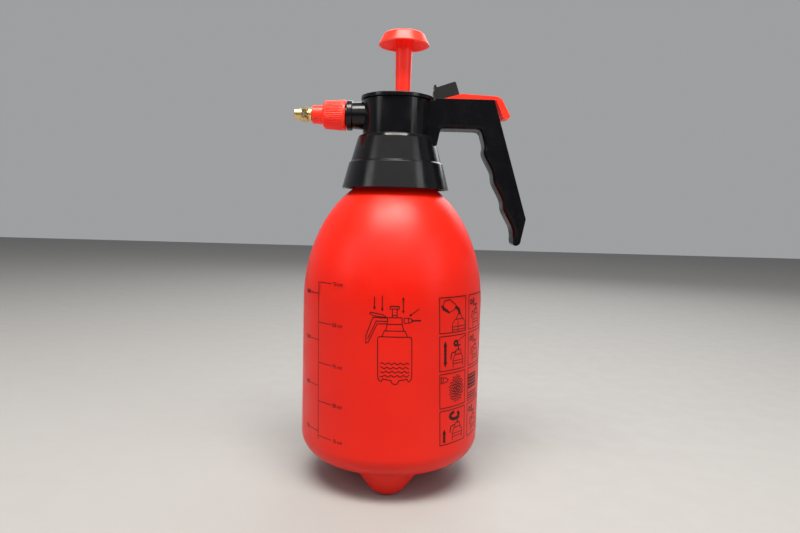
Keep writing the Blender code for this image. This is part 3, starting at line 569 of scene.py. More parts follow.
def add_head_shell():
    """The two-step skirt, the upper cylinder, the deck and the threaded collar inside."""
    corners = [
        (SKIRT_R, SKIRT_Z, 0.5 * MM),
        (STEP_R, STEP_Z - 0.2 * MM, 0.7 * MM),
        (CONE_R + 0.2 * MM, CONE_Z, 0.3 * MM),
        (CONE_TOP_R, CONE_TOP_Z, 1.2 * MM),
        (CONE_TOP_R - 0.9 * MM, CONE_TOP_Z + 1.9 * MM, 0.9 * MM),
        (HEAD_R, CONE_TOP_Z + 2.3 * MM, 0.5 * MM),
        (HEAD_R, HEAD_TOP, 0.3 * MM),
        (HEAD_BORE, HEAD_TOP, 0.3 * MM),
        (HEAD_BORE, CONE_TOP_Z + 3 * MM, 0.5 * MM),
        (CONE_TOP_R - 2.2 * MM, CONE_TOP_Z, 0.5 * MM),
        (30.2 * MM, DECK_HIGH, 0.3 * MM),
        (0, DECK_HIGH, 0),
        (0, DECK_LOW, 0),
        (THREAD_ROOT, DECK_LOW, 0.3 * MM),
        (THREAD_ROOT, THREAD_LOW, 0.3 * MM),
        (THREAD_ROOT + THREAD_WALL, THREAD_LOW, 0.3 * MM),
        (THREAD_ROOT + THREAD_WALL, RECESS_TOP, 0.3 * MM),
        (36 * MM, RECESS_TOP, 0.3 * MM),
        (SKIRT_R - THREAD_WALL, SKIRT_Z, 0.4 * MM),
    ]
    piece = add_mesh("head_shell", turned(rounded(corners), 128), BLACK)
    carve(piece, [pin(SOCKET_R - 0.1 * MM, DECK_LOW, DECK_HIGH)])
    piece.data.set_sharp_from_angle(angle=math.radians(35))
    even_shading(piece)
    attach(piece, "head", ["head_housing"])
    socket = [(SOCKET_BORE, DECK_LOW), (SOCKET_R, DECK_LOW),
              (SOCKET_R, SOCKET_TOP), (SOCKET_BORE, SOCKET_TOP)]
    add_mesh("pump_socket", turned(socket, 64, PUMP_X), BLACK, "head")


def add_barrel():
    """The spray barrel with its flange and the spigot inside the collar."""
    root, flange, end = 24.8 * MM, 35.4 * MM, 52.9 * MM
    bore, spigot_r, flange_r = 1.7 * MM, 8 * MM, 11.7 * MM
    corners = [
        (11.1 * MM, root, 0),
        (10.8 * MM, root + 2.2 * MM, 0),
        (10.3 * MM, flange - 0.3 * MM, 0.4 * MM),
        (flange_r, flange, 0.6 * MM),
        (flange_r, flange + 4.1 * MM, 0.6 * MM),
        (spigot_r, flange + 4.2 * MM, 0.2 * MM),
        (spigot_r, end, 0.4 * MM),
        (bore, end, 0.2 * MM),
        (bore, root, 0),
    ]
    surface = turned(rounded(corners), 72, along_x=True)
    add_mesh("spray_barrel", surface, BLACK, "head", ["head_housing"])


# The handle, from the bottle's axis: its back's corners, its tip, and its finger hollows' first
# crest with the step from one crest to the next.
BACK_X, CORNER_BACK_Z = 75 * MM, 210.5 * MM
TIP_X, TIP_Z, TIP_R = 97.4 * MM, 192 * MM, 3 * MM
CREST_X, CREST_Z, CREST_STEP_X, CREST_STEP_Z = 68.6 * MM, 260 * MM, 8.7 * MM, -21.9 * MM
ARM_UNDER, WEB_Z = 279 * MM, 266 * MM


def finger_edge():
    """The grip's inner edge with its finger hollows, from the arm down to the tip."""
    points = [(CREST_X - 2.5 * MM, ARM_UNDER - 2.5 * MM), (CREST_X, CREST_Z + 7.3 * MM)]
    for k in range(3):
        x, z = CREST_X + CREST_STEP_X * k, CREST_Z + CREST_STEP_Z * k
        points.append((x, z))
        points.append((x + 6.8 * MM, z - 13 * MM))
    points.append((TIP_X - TIP_R, TIP_Z + 1.5 * MM))
    return smooth_curve(points, 6)


def back_x(z):
    """Where the grip's straight back is at a height, from the bottle's axis."""
    return BACK_X + (ARM_TOP - z) / (ARM_TOP - CORNER_BACK_Z) * (HANDLE_X - BACK_X)


def front_x(z):
    """The front wall of the grip's cells, parallel to the line through the finger crests."""
    return CREST_X + 6.8 * MM + (z - CREST_Z) * (CREST_STEP_X / CREST_STEP_Z)


def narrow_tip(piece):
    """Draw the grip's two sides together towards its tip."""
    start, end = 206 * MM, TIP_Z - TIP_R
    for vertex in piece.data.vertices:
        if vertex.co.x > AXIS_X + 60 * MM and vertex.co.z < start:
            along = (start - vertex.co.z) / (start - end)
            vertex.co.y *= math.sqrt(max(0.0, 1 - 0.8 * along**3))


def round_grip(shape, radius):
    """Round the rims of the faces that look inwards or down, which the fingers hold."""
    bmesh.ops.recalc_face_normals(shape, faces=shape.faces)
    rims = []
    for edge in shape.edges:
        sides = [face.normal for face in edge.link_faces if abs(face.normal.y) < 0.5]
        middle = (edge.verts[0].co + edge.verts[1].co) / 2
        held = middle.x > AXIS_X + 34 * MM and middle.z > TIP_Z + 3 * MM
        if held and len(sides) == 1 and (sides[0].x < -0.3 or sides[0].z < -0.7):
            rims.append(edge)
    bmesh.ops.bevel(shape, geom=rims, offset=radius, segments=5, profile=0.5, affect="EDGES")


def add_handle():
    """The arm and grip: an open-backed channel with stiffening ribs and rounded edges."""
    step_x = CAP_R + 0.6 * MM
    outline = [(24 * MM, HEAD_TOP), (step_x, HEAD_TOP), (step_x, ARM_TOP)]
    outline += [(BACK_X - 0.3 * MM, ARM_TOP), (BACK_X + 0.3 * MM, ARM_TOP - 0.9 * MM)]
    outline += [(HANDLE_X - 0.15 * MM, CORNER_BACK_Z + 0.7 * MM), (HANDLE_X, CORNER_BACK_Z - 0.5 * MM)]
    outline += arc((TIP_X, TIP_Z), TIP_R, 8, -170, 10)
    outline += list(reversed(finger_edge()))
    outline += smooth_curve([(64.6 * MM, ARM_UNDER - 0.6 * MM), (61.5 * MM, ARM_UNDER)], 2)
    outline += arc((36.5 * MM, ARM_UNDER - 3 * MM), 3 * MM, 90, 165, 6)
    outline += [(31.5 * MM, WEB_Z), (24 * MM, WEB_Z)]
    shape = prism(outline, ARM_WIDTH)
    round_grip(shape, 4 * MM)
    piece = add_mesh("handle", shape, GRIP_BLACK)

    width, above, behind, bottom = 19.4 * MM, ARM_TOP + 3 * MM, 4 * MM, 268 * MM
    floor, start = 282.5 * MM, 27.9 * MM
    channel = [
        (start, floor),
        (front_x(floor) + 2 * MM, floor),
        (front_x(bottom), bottom),
        (back_x(bottom) + behind, bottom),
        (back_x(above) + behind, above),
        (start, above),
    ]
    hollows = [prism(channel, width)]
    rib, lowest, cells = 2 * MM, 203 * MM, 3
    tall = (bottom - lowest) / cells
    for k in range(cells):
        high = bottom - k * tall - rib
        low = bottom - (k + 1) * tall
        cell = [(front_x(low), low), (back_x(low) + behind, low),
                (back_x(high) + behind, high), (front_x(high), high)]
        hollows.append(prism(cell, width))
    low, high, middle_r = 255 * MM, 310 * MM, 25.7 * MM
    inside = [(0, low), (31 * MM, low), (29.7 * MM, CONE_TOP_Z), (middle_r, CONE_TOP_Z + 3 * MM),
              (middle_r, high), (0, high)]
    hollows.append(turned(inside, 96))
    carve(piece, hollows)
    narrow_tip(piece)
    soften(piece, 0.7 * MM, 3, 40)
    attach(piece, "head", ["head_housing"])


def add_top_cap():
    """The thin rimmed disc on the head, with the rod's hole."""
    under, face = CAP_TOP - 2.9 * MM, CAP_TOP - 0.8 * MM
    plug_r, plug_bore = HEAD_BORE - 0.3 * MM, 20.4 * MM
    corners = [
        (CAP_R, under, 0.4 * MM),
        (CAP_R, CAP_TOP, 0.7 * MM),
        (CAP_R - 2.0 * MM, CAP_TOP, 0.4 * MM),
        (CAP_R - 2.6 * MM, face, 0.4 * MM),
        (0, face, 0),
        (0, under, 0),
        (plug_bore, under, 0),
        (plug_bore, cap_low.z, 0.2 * MM),
        (plug_r, cap_low.z, 0.3 * MM),
        (plug_r, under, 0),
    ]
    piece = add_mesh("cap_disc", turned(rounded(corners), 128), BLACK)
    carve(piece, [pin(7.2 * MM, cap_low.z, CAP_TOP)])
    soften(piece, 0.3 * MM, 2, 50)
    attach(piece, "head", ["top_cap"])


# ---------------------------------------------------------------- plunger

def add_plunger():
    """The knob, hollow underneath with a boss in its middle, and the tapered rod."""
    rod_top, boss = rod_high.z, 3.9 * MM
    rim_z, boss_z = KNOB_TOP - 9.8 * MM, knob_low.z + 1.6 * MM
    knob = [
        (0, boss_z, 0),
        (boss, boss_z, 0.3 * MM),
        (boss, rod_top + 0.3 * MM, 0),
        (12.6 * MM, rod_top + 0.3 * MM, 1.5 * MM),
        (KNOB_R - 1.5 * MM, rim_z, 0.3 * MM),
        (KNOB_R, rim_z, 0.3 * MM),
        (KNOB_R - 0.1 * MM, rim_z + 0.9 * MM, 0.3 * MM),
        (15.9 * MM, KNOB_TOP - 1.6 * MM, 1.3 * MM),
        (14 * MM, KNOB_TOP - 0.45 * MM, 0.9 * MM),
        (7 * MM, KNOB_TOP - 0.1 * MM, 0.5 * MM),
        (0, KNOB_TOP, 0),
    ]
    knob_surface = turned(rounded(knob, 5), 96, PUMP_X)
    add_mesh("knob_shell", knob_surface, RED, "plunger", ["pump_knob"])
    tail_r, low_r, top_r, bore = 3 * MM, 5.6 * MM, 6.5 * MM, boss + 0.3 * MM
    step_z, taper_z, bore_z = 246 * MM, 290 * MM, 300 * MM
    rod = [
        (0, rod_low.z, 0),
        (tail_r, rod_low.z, 0.2 * MM),
        (tail_r, step_z, 0),
        (low_r, step_z, 0.3 * MM),
        (low_r, taper_z, 0),
        (top_r, rod_top - 12 * MM, 0),
        (top_r, rod_top, 0.3 * MM),
        (bore, rod_top, 0),
        (bore, bore_z, 0),
        (0, bore_z - 2 * MM, 0),
    ]
    rod_surface = turned(rounded(rod), 64, PUMP_X)
    add_mesh("rod_shell", rod_surface, RED, "plunger", ["pump_rod"])


# ---------------------------------------------------------------- nozzle

def add_collar():
    """The red collar: a ribbed grip with a chamfer, then a plain nose."""
    ribs, depth = 52, 0.42 * MM
    start, step, end = 40.6 * MM, 58.3 * MM, AXIS_X - collar_low.x
    grip_start, grip_end = start + 1.8 * MM, step - 2.5 * MM
    grip_fade, fade = grip_end + 1.3 * MM, 1.2 * MM
    bore, stem_bore, floor = 9.1 * MM, 3.6 * MM, 55 * MM
    corners = [
        (bore, start, 0.2 * MM),
        (COLLAR_R, start, 0.5 * MM),
        (COLLAR_R, start + 1.6 * MM, 0.2 * MM),
        (COLLAR_R - 0.05 * MM, grip_start, 0),
        (COLLAR_R - 0.25 * MM, grip_start + 3 * MM, 0),
        (COLLAR_R - 0.6 * MM, grip_start + 8 * MM, 0),
        (COLLAR_R - 0.9 * MM, grip_end, 0),
        (COLLAR_R - 1.1 * MM, step - 1.4 * MM, 0.6 * MM),
        (COLLAR_R - 2.8 * MM, step, 0.6 * MM),
        (7.4 * MM, step, 0.4 * MM),
        (7.1 * MM, end - 0.2 * MM, 0.5 * MM),
        (stem_bore, end, 0.2 * MM),
        (stem_bore, floor, 0),
        (bore, floor, 0),
    ]

    def ribbed(radius, height, angle):
        if radius < COLLAR_R - 1.3 * MM or not grip_start - 0.1 * MM < height < grip_fade:
            return radius, height
        ease = min(1.0, (height - grip_start) / fade, (grip_fade - height) / fade)
        wave = 0.5 + 0.5 * math.cos(ribs * angle)
        return radius - depth * max(ease, 0.0) * (1 - min(1.0, 1.6 * wave)), height

    surface = turned(rounded(corners), ribs * 8, along_x=True, shape=ribbed)
    add_mesh("collar_shell", surface, RED, "collar", ["nozzle_collar"], 50)


def hexagon_radius(angle, flats):
    """The radius of a hexagon with a given half width across its flats."""
    within = (angle + math.pi / 6) % (math.pi / 3) - math.pi / 6
    return flats / math.cos(within)


def add_brass():
    """The brass stem's shoulder and the cap's hexagon, with turned chamfers on their corners."""
    inner, start, shoulder = 56 * MM, 67.1 * MM, 70.1 * MM
    stem = [
        (1 * MM, inner, 0),
        (3.3 * MM, inner, 0.1 * MM),
        (3.3 * MM, start, 0),
        (4.9 * MM, start, 0.2 * MM),
        (5.4 * MM, start + 0.6 * MM, 0.2 * MM),
        (5.4 * MM, shoulder - 0.6 * MM, 0.2 * MM),
        (4.9 * MM, shoulder, 0.2 * MM),
        (3.5 * MM, shoulder, 0.1 * MM),
        (3.5 * MM, 75.8 * MM, 0.1 * MM),
        (1 * MM, 77.4 * MM, 0),
    ]
    surface = turned(rounded(stem, 3), 72, along_x=True)
    add_mesh("stem_shell", surface, BRASS, "collar", ["nozzle_stem"])

    flats, hex_start, hex_end = 5.3 * MM, 70.7 * MM, 75.3 * MM
    chamfer = [(flats + (0.2 + 0.24 * k) * MM, 0.15 * k * MM) for k in range(4)]
    outline = [(4 * MM, hex_start), (4.8 * MM, hex_start)]
    outline += [(radius, hex_start + height) for radius, height in chamfer]
    outline += [(radius, hex_end - height) for radius, height in reversed(chamfer)]
    outline += rounded([
        (4.8 * MM, hex_end + 0.05 * MM, 0),
        (4.3 * MM, hex_end + 0.2 * MM, 0.1 * MM),
        (4.3 * MM, hex_end + 0.9 * MM, 0.1 * MM),
        (4.6 * MM, hex_end + 1.2 * MM, 0.2 * MM),
        (4.55 * MM, TIP_END, 0.7 * MM),
        (2.0 * MM, TIP_END, 0.3 * MM),
        (0.6 * MM, TIP_END - 1.2 * MM, 0.1 * MM),
        (0.6 * MM, TIP_END - 1.9 * MM, 0),
        (2 * MM, TIP_END - 2.7 * MM, 0),
        (4 * MM, TIP_END - 2.7 * MM, 0.1 * MM),
    ], 3)

    def hexed(radius, height, angle):
        if radius < flats + 0.2 * MM:
            return radius, height
        return min(radius, hexagon_radius(angle, flats)), height

    surface = turned(outline, 144, along_x=True, shape=hexed)
    add_mesh("tip_shell", surface, BRASS, "cap", ["nozzle_cap"], 25)


# ---------------------------------------------------------------- trigger and lock

# The lever's front slope, with the slider's place at rest on it.
SLOPE_PLACE = (Matrix.Translation((AXIS_X + 38.5 * MM, 0, 303.06 * MM))
               @ Matrix.Rotation(-math.atan2(5.6, 19.3), 4, "Y"))
PIVOT = (32 * MM, 296.5 * MM)


def add_trigger():
    """The long lever: crowned top, turned-down tail, skirts, hub, slot and valve pad."""
    width, side_wall = lever_high.y - lever_low.y, 1.8 * MM
    crown = rounded(mm([
        (30.7, 300.8, 0.6), (50, 306.3, 9), (77.8, 304.95, 5), (81.3, 303.1, 4), (88.9, 288.9, 1.6),
        (82.9, 288.2, 1.4), (77, 301.9, 2), (74, 302.2, 0), (70, 297.5, 1), (36, 295.5, 1),
    ]), 6)
    piece = add_mesh("lever_shell", prism(crown, width), RED)
    carve(piece, [prism(arc(PIVOT, 3.6 * MM, 0, 345, 23), width)], "UNION")
    pocket = mm([(37.5, 300.56), (50, 304.1), (70, 303), (70, 291), (37.5, 291)])
    slot = block(SLOPE_PLACE, (-0.9, -2.2, -6), (8.5, 2.2, 3))
    hole = prism(arc(PIVOT, 1.75 * MM, 0, 340, 17), 2 * width)
    carve(piece, [prism(pocket, width - 2 * side_wall), slot, hole])
    soften(piece, 0.8 * MM, 3, 40)
    attach(piece, "trigger", ["trigger"])
    pad = rounded(mm([(0, 302.1, 0), (1.6, 302.1, 0.3), (1.6, 305, 0), (0, 305, 0)]))
    add_mesh("lever_pad", turned(pad, 32, AXIS_X + 51.2 * MM), RED, "trigger")


def add_lock_slider():
    """The slider: a thumb piece with a raised stop, on a neck and foot through the slot."""
    thumb = rounded(mm([
        (-8.9, 0.4, 0.3), (10.3, 0.4, 0.4), (9.9, 9.9, 0.8), (8.9, 10.8, 0.8), (-5.4, 10.1, 0.5),
        (-5.7, 12.3, 0.3), (-7.2, 12.3, 0.3), (-7.5, 8.3, 0.4), (-9, 7.7, 0.4),
    ]), 3)
    shape = prism(thumb, slider_high.y - slider_low.y, 0)
    shape.transform(SLOPE_PLACE)
    piece = add_mesh("slider_shell", shape, SATIN_BLACK)
    neck = block(SLOPE_PLACE, (0, -1.8, -3.8), (4.2, 1.8, 2))
    foot = block(SLOPE_PLACE, (0, -4.5, -4.3), (4.2, 4.5, -2.8))
    carve(piece, [neck, foot], "UNION")
    soften(piece, 0.35 * MM, 2, 50)
    attach(piece, "lock", ["lock_slider"])


# ---------------------------------------------------------------- prints

INK_R = TANK_R - SKIN
INK_RISE = 0.04 * MM
PRINT_MIDDLE = 101
# How far the ink spreads beyond each side of a stroke, and a digit's step, in its own widths.
INK_SPREAD = 0.08
DIGIT_STEP = 1.75
LINE_WIDTH = 0.5


class Print:
    """Collects ink strokes on the tank's wall, from (across, z) points in millimetres.

    across runs round the wall from the middle of its front; both start at the print's origin.
    """

    def __init__(self, name, lean):
        """lean is how far the print drifts sideways for each millimetre down from its middle."""
        self.name = name
        self.lean = lean
        self.origin = (0, 0)
        self.mesh = bmesh.new()

    def placed(self, points):
        """Points moved to the print's origin."""
        return [(self.origin[0] + across, self.origin[1] + z) for across, z in points]

    def point(self, across, z, rise):
        angle = (across + self.lean * (PRINT_MIDDLE - z)) * MM / INK_R
        r = INK_R + rise
        return self.mesh.verts.new((AXIS_X + r * math.sin(angle), -r * math.cos(angle), z * MM))

    def area(self, corners):
        """A filled convex area between placed corners, as a thin closed plate."""
        low = [self.point(a, z, -INK_RISE) for a, z in corners]
        high = [self.point(a, z, INK_RISE) for a, z in corners]
        self.mesh.faces.new(high)
        self.mesh.faces.new(list(reversed(low)))
        for k in range(len(corners)):
            n = (k + 1) % len(corners)
            self.mesh.faces.new((low[k], low[n], high[n], high[k]))

    def line(self, points, width=LINE_WIDTH):
        """A stroke through points, split so that it follows the wall."""
        points = self.placed(points)
        for (a0, z0), (a1, z1) in zip(points, points[1:]):
            length = math.hypot(a1 - a0, z1 - z0)
            if length < 1e-6:
                continue
            da, dz = (a1 - a0) / length, (z1 - z0) / length
            parts = max(1, math.ceil(abs(a1 - a0) / 2.5))
            half = width / 2 + INK_SPREAD
            ends = [-half + (length + width) * k / parts for k in range(parts + 1)]
            for start, end in zip(ends, ends[1:]):
                self.area([
                    (a0 + da * start + dz * half, z0 + dz * start - da * half),
                    (a0 + da * end + dz * half, z0 + dz * end - da * half),
                    (a0 + da * end - dz * half, z0 + dz * end + da * half),
                    (a0 + da * start - dz * half, z0 + dz * start + da * half),
                ])

    def loop(self, points):
        """A stroke that ends where it starts."""
        self.line(points + points[:1])

    def ring(self, centre, radius, width, start=0, end=360):
        """A stroke round a circle, or round a part of one in degrees."""
        steps = max(8, round(abs(end - start) / 24))
        self.line(arc(centre, radius, start, end, steps), width)

    def dart(self, tip, angle, size):
        """A filled arrow head."""
        self.area(self.placed([tip] + arc(tip, size, angle + 155, angle - 155, 1)))

    def done(self):
        """Link all the strokes as one piece."""
        add_mesh(self.name, self.mesh, INK, "tank", sharp=30)


# Seven-segment strokes for the scale's numbers: the ends of each segment in a 1 by 2 cell.
SEGMENTS = {
    "a": ((0, 2), (1, 2)),
    "b": ((1, 2), (1, 1)),
    "c": ((1, 1), (1, 0)),
    "d": ((0, 0), (1, 0)),
    "e": ((0, 1), (0, 0)),
    "f": ((0, 2), (0, 1)),
    "g": ((0, 1), (1, 1)),
}
DIGITS = {"0": "abcdef", "1": "bc", "2": "abged", "3": "abgcd", "4": "fgbc", "5": "afgcd",
          "6": "afgedc", "7": "abc"}


def number(ink, text, across, z, size):
    """A number of seven-segment digits whose first one starts at (across, z)."""
    for k, digit in enumerate(text):
        left = across + k * size * DIGIT_STEP
        for segment in DIGITS[digit]:
            ends = [(left + x * size, z + y * size) for x, y in SEGMENTS[segment]]
            ink.line(ends, 0.26)


def arc_mm(degrees):
    """An angle from the front's middle, as millimetres round the wall."""
    return math.radians(degrees) * INK_R / MM


def add_scale():
    """The volume scale: a line with two rows of ticks, millilitres and fluid ounces."""
    ink = Print("print_scale", 0.018)
    line = arc_mm(-48)
    top, bottom = 161, 43
    ink.line([(line, bottom), (line, top)])
    ounce_tick, litre_tick, digit = 14, 11, 1.15
    for k, z in enumerate((45.4, 71.9, 101, 131.2, 161)):
        ink.line([(line, z), (line + ounce_tick, z)], 0.42)
        label = line + ounce_tick + 1.6
        number(ink, str(15 * (k + 1)), label, z - digit, digit)
        ink.ring((label + 5.5, z - 0.4), 0.7, 0.3)
        zed = [(label + x, z + y) for x, y in ((7.1, 0.3), (8.5, 0.3), (7.1, -1.1), (8.5, -1.1))]
        ink.line(zed, 0.3)
    for k in range(4):
        z = 48.6 + 34.6 * k
        ink.line([(line - litre_tick, z), (line, z)], 0.42)
        text = str(500 * (k + 1))
        number(ink, text, line - litre_tick - 1 - len(text) * digit * DIGIT_STEP, z - digit, digit)
    ink.done()


def add_drawing():
    """The outline drawing of a sprayer on the front, with water lines and arrows."""
    ink = Print("print_drawing", 0.028)
    middle, shoulder = 3.9, 126.4

    def at(x, z):
        return middle + 0.87 * x, shoulder + 0.92 * (z - shoulder)

    def line(points, width=LINE_WIDTH):
        ink.line([at(x, z) for x, z in points], width)

    for side in (-1, 1):
        line([(0, shoulder), (side * 12.2, shoulder), (side * 13.4, 125.8), (side * 13.9, 124.6),
              (side * 13.9, 95), (side * 13.2, 92.6), (side * 11, 91.4), (side * 9.9, 93.6),
              (side * 3, 92.4)])
        line([(side * 10.4, shoulder), (side * 8.4, 131), (side * 7.2, 131.2), (side * 6, 136.1),
              (side * 5.8, 141.3)])
        line([(side * 1.9, 141.3), (side * 1.9, 147.8)], 0.45)
    ink.ring(at(0, 92.4), 2.7, 0.5, 180, 360)
    for z, half in ((131, 8.4), (136.1, 6), (141.3, 5.8), (143, 1.9), (148, 3.6), (150, 3.6)):
        line([(-half, z), (half, z)], 0.45)
    for side in (-1, 1):
        line([(side * 3.6, 148), (side * 3.6, 150)], 0.45)
    for row, z in enumerate((105.6, 102.3, 99.1, 95.9)):
        waves = [(-11.5 + k, z + 0.7 * math.sin(2 * math.pi * (k + row) / 5)) for k in range(24)]
        line(waves)
    line([(-6, 141), (-17.7, 141), (-23.6, 126.3), (-23.6, 120.7), (-21.7, 121.5), (-14.2, 136.2),
          (-6, 136.4)])
    line([(-6, 138.3), (-14.9, 138.3), (-22, 124.4)])
    line([(-20.4, 143.8), (-19.4, 144.9), (-9, 143.2), (-6.6, 141.4), (-17, 142.2), (-20.4, 143.8)])
    line([(7.6, 137), (11.2, 137.2), (14.2, 138), (14.2, 140), (11.2, 141), (7.6, 141), (7.6, 137)], 0.45)
    line([(11.2, 137.2), (11.2, 141)], 0.45)
    line([(14.2, 139), (21.2, 139)], 0.9)
    for across, high, low in ((-16.3, 156.7, 149), (-9.9, 157.6, 148), (7, 155, 146.6)):
        line([(across, high), (across, low)], 0.45)
        ink.dart(at(across, low - 2.2), -90, 2.4)
    ink.dart(at(7, 157.4), 90, 2.4)
    line([(19.9, 147.9), (13.4, 143.6)], 0.45)
    ink.dart(at(11.5, 142.4), 213, 2.4)
    ink.done()


def bottle_icon(ink, x, z):
    """The top of a sprayer: bottle shoulders with two bands, collar, pump and side handle."""
    strokes = [
        ([(-5, 0), (-5, 6), (-3, 9), (4, 9), (6, 6), (6, 0)], LINE_WIDTH),
        ([(-5, 2.4), (6, 2.4)], 0.4),
        ([(-5, 4.6), (6, 4.6)], 0.4),
        ([(-3, 9), (4, 9), (3, 12.4), (-2, 12.4), (-3, 9)], LINE_WIDTH),
        ([(0.5, 12.4), (0.5, 15.6)], 1.1),
        ([(-1.6, 15.8), (2.6, 15.8)], 1.0),
        ([(-2, 11.4), (-6.4, 10.6), (-7.4, 6.4)], 0.8),
    ]
    for points, width in strokes:
        ink.line([(x + across, z + up) for across, up in points], width)


def block_arrow(ink, across, low, high, both=True):
    """A thick dashed arrow that points up, or both ways."""
    head, space, size = 3, 1.1, 4.2
    start = low + head if both else low
    length = high - head - start
    count = max(2, round(length / 2.9))
    pitch = length / count
    for k in range(count):
        dash = start + k * pitch
        ink.line([(across, dash + space), (across, dash + pitch - space)], 2.1)
    ink.dart((across, high), 90, size)
    if both:
        ink.dart((across, low), -90, size)


def panel_unscrew(ink, height):
    """Bottom panel: a thick turning arrow over a sprayer's head."""
    bottle_icon(ink, 17, 2.2)
    angles = [math.radians(a) for a in range(110, 400, 24)]
    ink.line([(14.5 + 4.6 * math.cos(a), height - 5 + 2.6 * math.sin(a)) for a in angles], 2.2)
    block_arrow(ink, 4, 1.6, 12, both=False)


def panel_spray(ink, height):
    """A cloud of drops, spread evenly by the golden angle, from a nozzle at the upper corner."""
    golden = 2.399963
    for k in range(90):
        turn, reach = golden * k, 0.98 * math.sqrt(k)
        place = (16.5 + 0.85 * reach * math.cos(turn), 13 + 1.1 * reach * math.sin(turn))
        ink.ring(place, 0.3, 0.62 if k < 30 else 0.42)
    ink.loop([(1.2, height - 6.6), (6.4, height - 6), (7.6, height - 4.4), (6, height - 3),
              (1.2, height - 2)])
    ink.line([(3, height - 6), (3, height - 2.6)], 0.4)


def panel_pump(ink, height):
    """A thick double arrow beside a sprayer, for pumping."""
    bottle_icon(ink, 17.5, 2)
    block_arrow(ink, 5, 2.6, height - 3.4)
    ink.ring((15.4, height - 6), 1.7, 1.5)
    ink.line([(17, height - 5), (21, height - 3), (26, height - 1.4)])


def panel_fill(ink, height):
    """A jug that pours into an open bottle."""
    ink.line([(11.5, 0.4), (11.5, 6), (14.5, 9.4), (23.5, 9.4), (26, 6), (26, 0.4)])
    for level in (1.8, 4):
        ink.line([(11.5, level), (26, level)], 0.45)
    ink.line([(17.5, 0.4), (17.5, 8)], 0.45)
    ink.loop([(15.5, 9.4), (22.5, 9.4), (20.5, 13), (17.5, 13)])
    ink.loop([(3, 18.6), (9, 15), (15.4, 17.6), (15, 20.4), (9, height - 1.6), (4, height - 2.6)])
    for k in range(4):
        ink.line([(2 + 1.6 * k, 20.2 - 1.1 * k), (3.4 + 1.6 * k, 17 - 0.8 * k)], 0.9)
    ink.line([(15.6, 18.4), (18, 16.6), (19, 14)], 2.2)


def side_panel(ink, row):
    """A second-column panel: a bottle, or rows of short strokes beside a dark block."""
    if row == 1:
        for k in range(5):
            ink.line([(1.4, 10 + 2.5 * k), (15, 10 + 2.5 * k)], 1.5 if k % 2 else 0.9)
            ink.line([(1.4 + 3 * k, 9.6), (1.4 + 3 * k, 20.4)], 0.8)
        for k in range(3):
            ink.line([(1.4, 2 + 1.9 * k), (17, 2 + 1.9 * k)], 0.8)
        return
    bottle_icon(ink, 12, 2)
    ink.line([(8, 18), (8, 22.4)], 1.6)
    ink.ring((4, 20.4), 1.5, 0.9)


def add_panels():
    """Two columns of four instruction panels with simple generic signs, from the bottom up."""
    ink = Print("print_panels", 0.042)
    width, gap = 26.6, 4.4
    rows = [(44.2, 25.6), (72.0, 25.4), (99.7, 25.6), (127.6, 26.0)]
    signs = [panel_unscrew, panel_spray, panel_pump, panel_fill]
    for column in range(2):
        for row, (z, height) in enumerate(rows):
            ink.origin = (arc_mm(30.4) + column * (width + gap), z)
            ink.loop([(0, 0), (width, 0), (width, height), (0, height)])
            if column == 0:
                signs[row](ink, height)
            else:
                side_panel(ink, row)
    ink.done()


# ---------------------------------------------------------------- carried-over pieces and the set

def finish_cad_nodes():
    """Give every CAD node that still shows its material."""
    chosen = {
        RUBBER: ["neck_gasket", "cylinder_o_ring", "check_valve", "gland_o_ring", "piston_cup",
                 "poppet_seal", "nozzle_gasket", "nozzle_o_ring"],
        PALE: ["pump_cylinder", "valve_body", "inlet_pipe", "delivery_pipe", "dip_tube", "piston"],
        BLACK: ["cylinder_foot", "strainer"],
        BRASS: ["gland_nut", "valve_stem"],
        STEEL: ["trigger_pin", "valve_spring"],
    }
    for material, names in chosen.items():
        for name in names:
            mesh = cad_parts[name].data
            mesh.materials.clear()
            mesh.materials.append(material)
            smooth(mesh, 35)


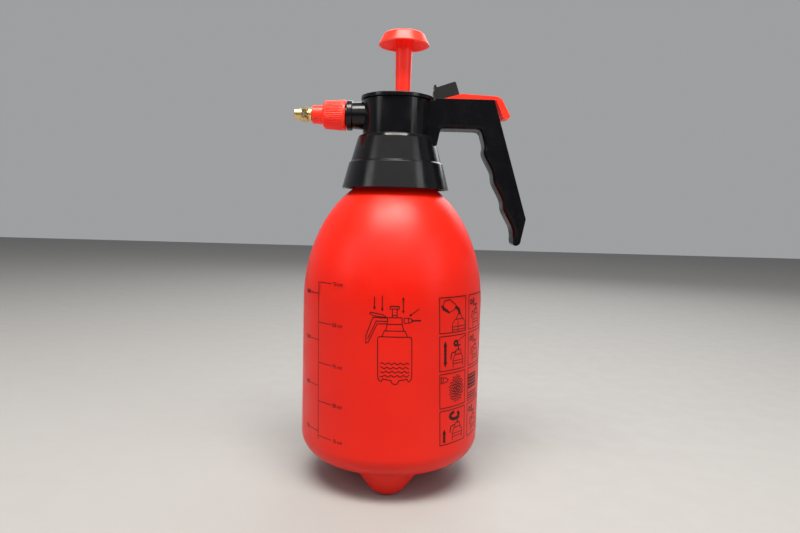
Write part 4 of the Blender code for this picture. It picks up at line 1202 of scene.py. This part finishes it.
def add_stage():
    """A pale floor, in a grey room that is dimmer towards -Y, the front."""
    floor = bpy.data.meshes.new("floor")
    size = 3.0
    corners = [(-size, -size, 0), (size, -size, 0), (size, size, 0), (-size, size, 0)]
    floor.from_pydata(corners, [], [(0, 1, 2, 3)])
    ground = link("floor", floor)
    shader = Shader("floor_paper", (0.33, 0.326, 0.322), 0.7)
    shader.vary_roughness(shader.noise(40, 3), 0.62, 0.75)
    floor.materials.append(shader.material)

    world = bpy.context.scene.world or bpy.data.worlds.new("studio")
    bpy.context.scene.world = world
    world.use_nodes = True
    nodes, links = world.node_tree.nodes, world.node_tree.links
    backdrop = nodes["Background"]
    backdrop.inputs["Color"].default_value = (0.62, 0.635, 0.65, 1)
    across = nodes.new("ShaderNodeSeparateXYZ")
    links.new(nodes.new("ShaderNodeTexCoord").outputs["Generated"], across.inputs["Vector"])
    dimming = map_range(nodes, links, across.outputs["Y"], -0.4, 0.5, 0.16, 0.55)
    links.new(dimming, backdrop.inputs["Strength"])


def add_light(name, place, target, size, power, colour=(1, 1, 1)):
    """A softbox that faces its target and doesn't show itself."""
    lamp = bpy.data.lights.new(name, "AREA")
    lamp.shape = "RECTANGLE"
    lamp.size, lamp.size_y = size
    lamp.energy = power
    lamp.color = colour
    light = link(name, lamp)
    light.location = place
    light.rotation_euler = (Vector(target) - Vector(place)).to_track_quat("-Z", "Y").to_euler()
    light.visible_camera = False


def add_lights():
    """A wide softbox high in front, a dim strip at the right, a soft light overhead and one behind."""
    target = (AXIS_X, 0, 0.22)
    add_light("front", (-0.1, -0.95, 1.02), target, (4.2, 0.85), 10)
    for side in (-1, 1):
        add_light("front_end", (1.75 * side - 0.1, -0.95, 1.02), target, (0.55, 0.85), 3.5)
    add_light("strip", (0.95, -0.75, 0.42), target, (0.12, 0.7), 0.4)
    add_light("above", (-0.02, -0.5, 1.5), target, (1.2, 0.55), 42, (1, 0.95, 0.88))
    add_light("behind", (0.35, 1.15, 0.95), target, (1.4, 0.9), 8)


def add_camera():
    """The viewpoint: in front, at the shoulder's height, tipped down and rolled slightly."""
    lens = bpy.data.cameras.new("camera")
    lens.lens, lens.sensor_width = 27, 36
    camera = link("camera", lens)
    place = Vector((AXIS_X + 5.5 * MM, -485 * MM, 214.5 * MM))
    tilt, roll = math.radians(90 - 5.3), math.radians(1.56)
    camera.matrix_world = (Matrix.Translation(place) @ Matrix.Rotation(tilt, 4, "X")
                           @ Matrix.Rotation(roll, 4, "Z"))
    bpy.context.scene.camera = camera
    bpy.context.scene.view_settings.view_transform = "Standard"


add_camera()
add_tank()
add_head_shell()
add_barrel()
add_handle()
add_top_cap()
add_plunger()
add_collar()
add_brass()
add_trigger()
add_lock_slider()
add_scale()
add_drawing()
add_panels()
finish_cad_nodes()
add_stage()
add_lights()
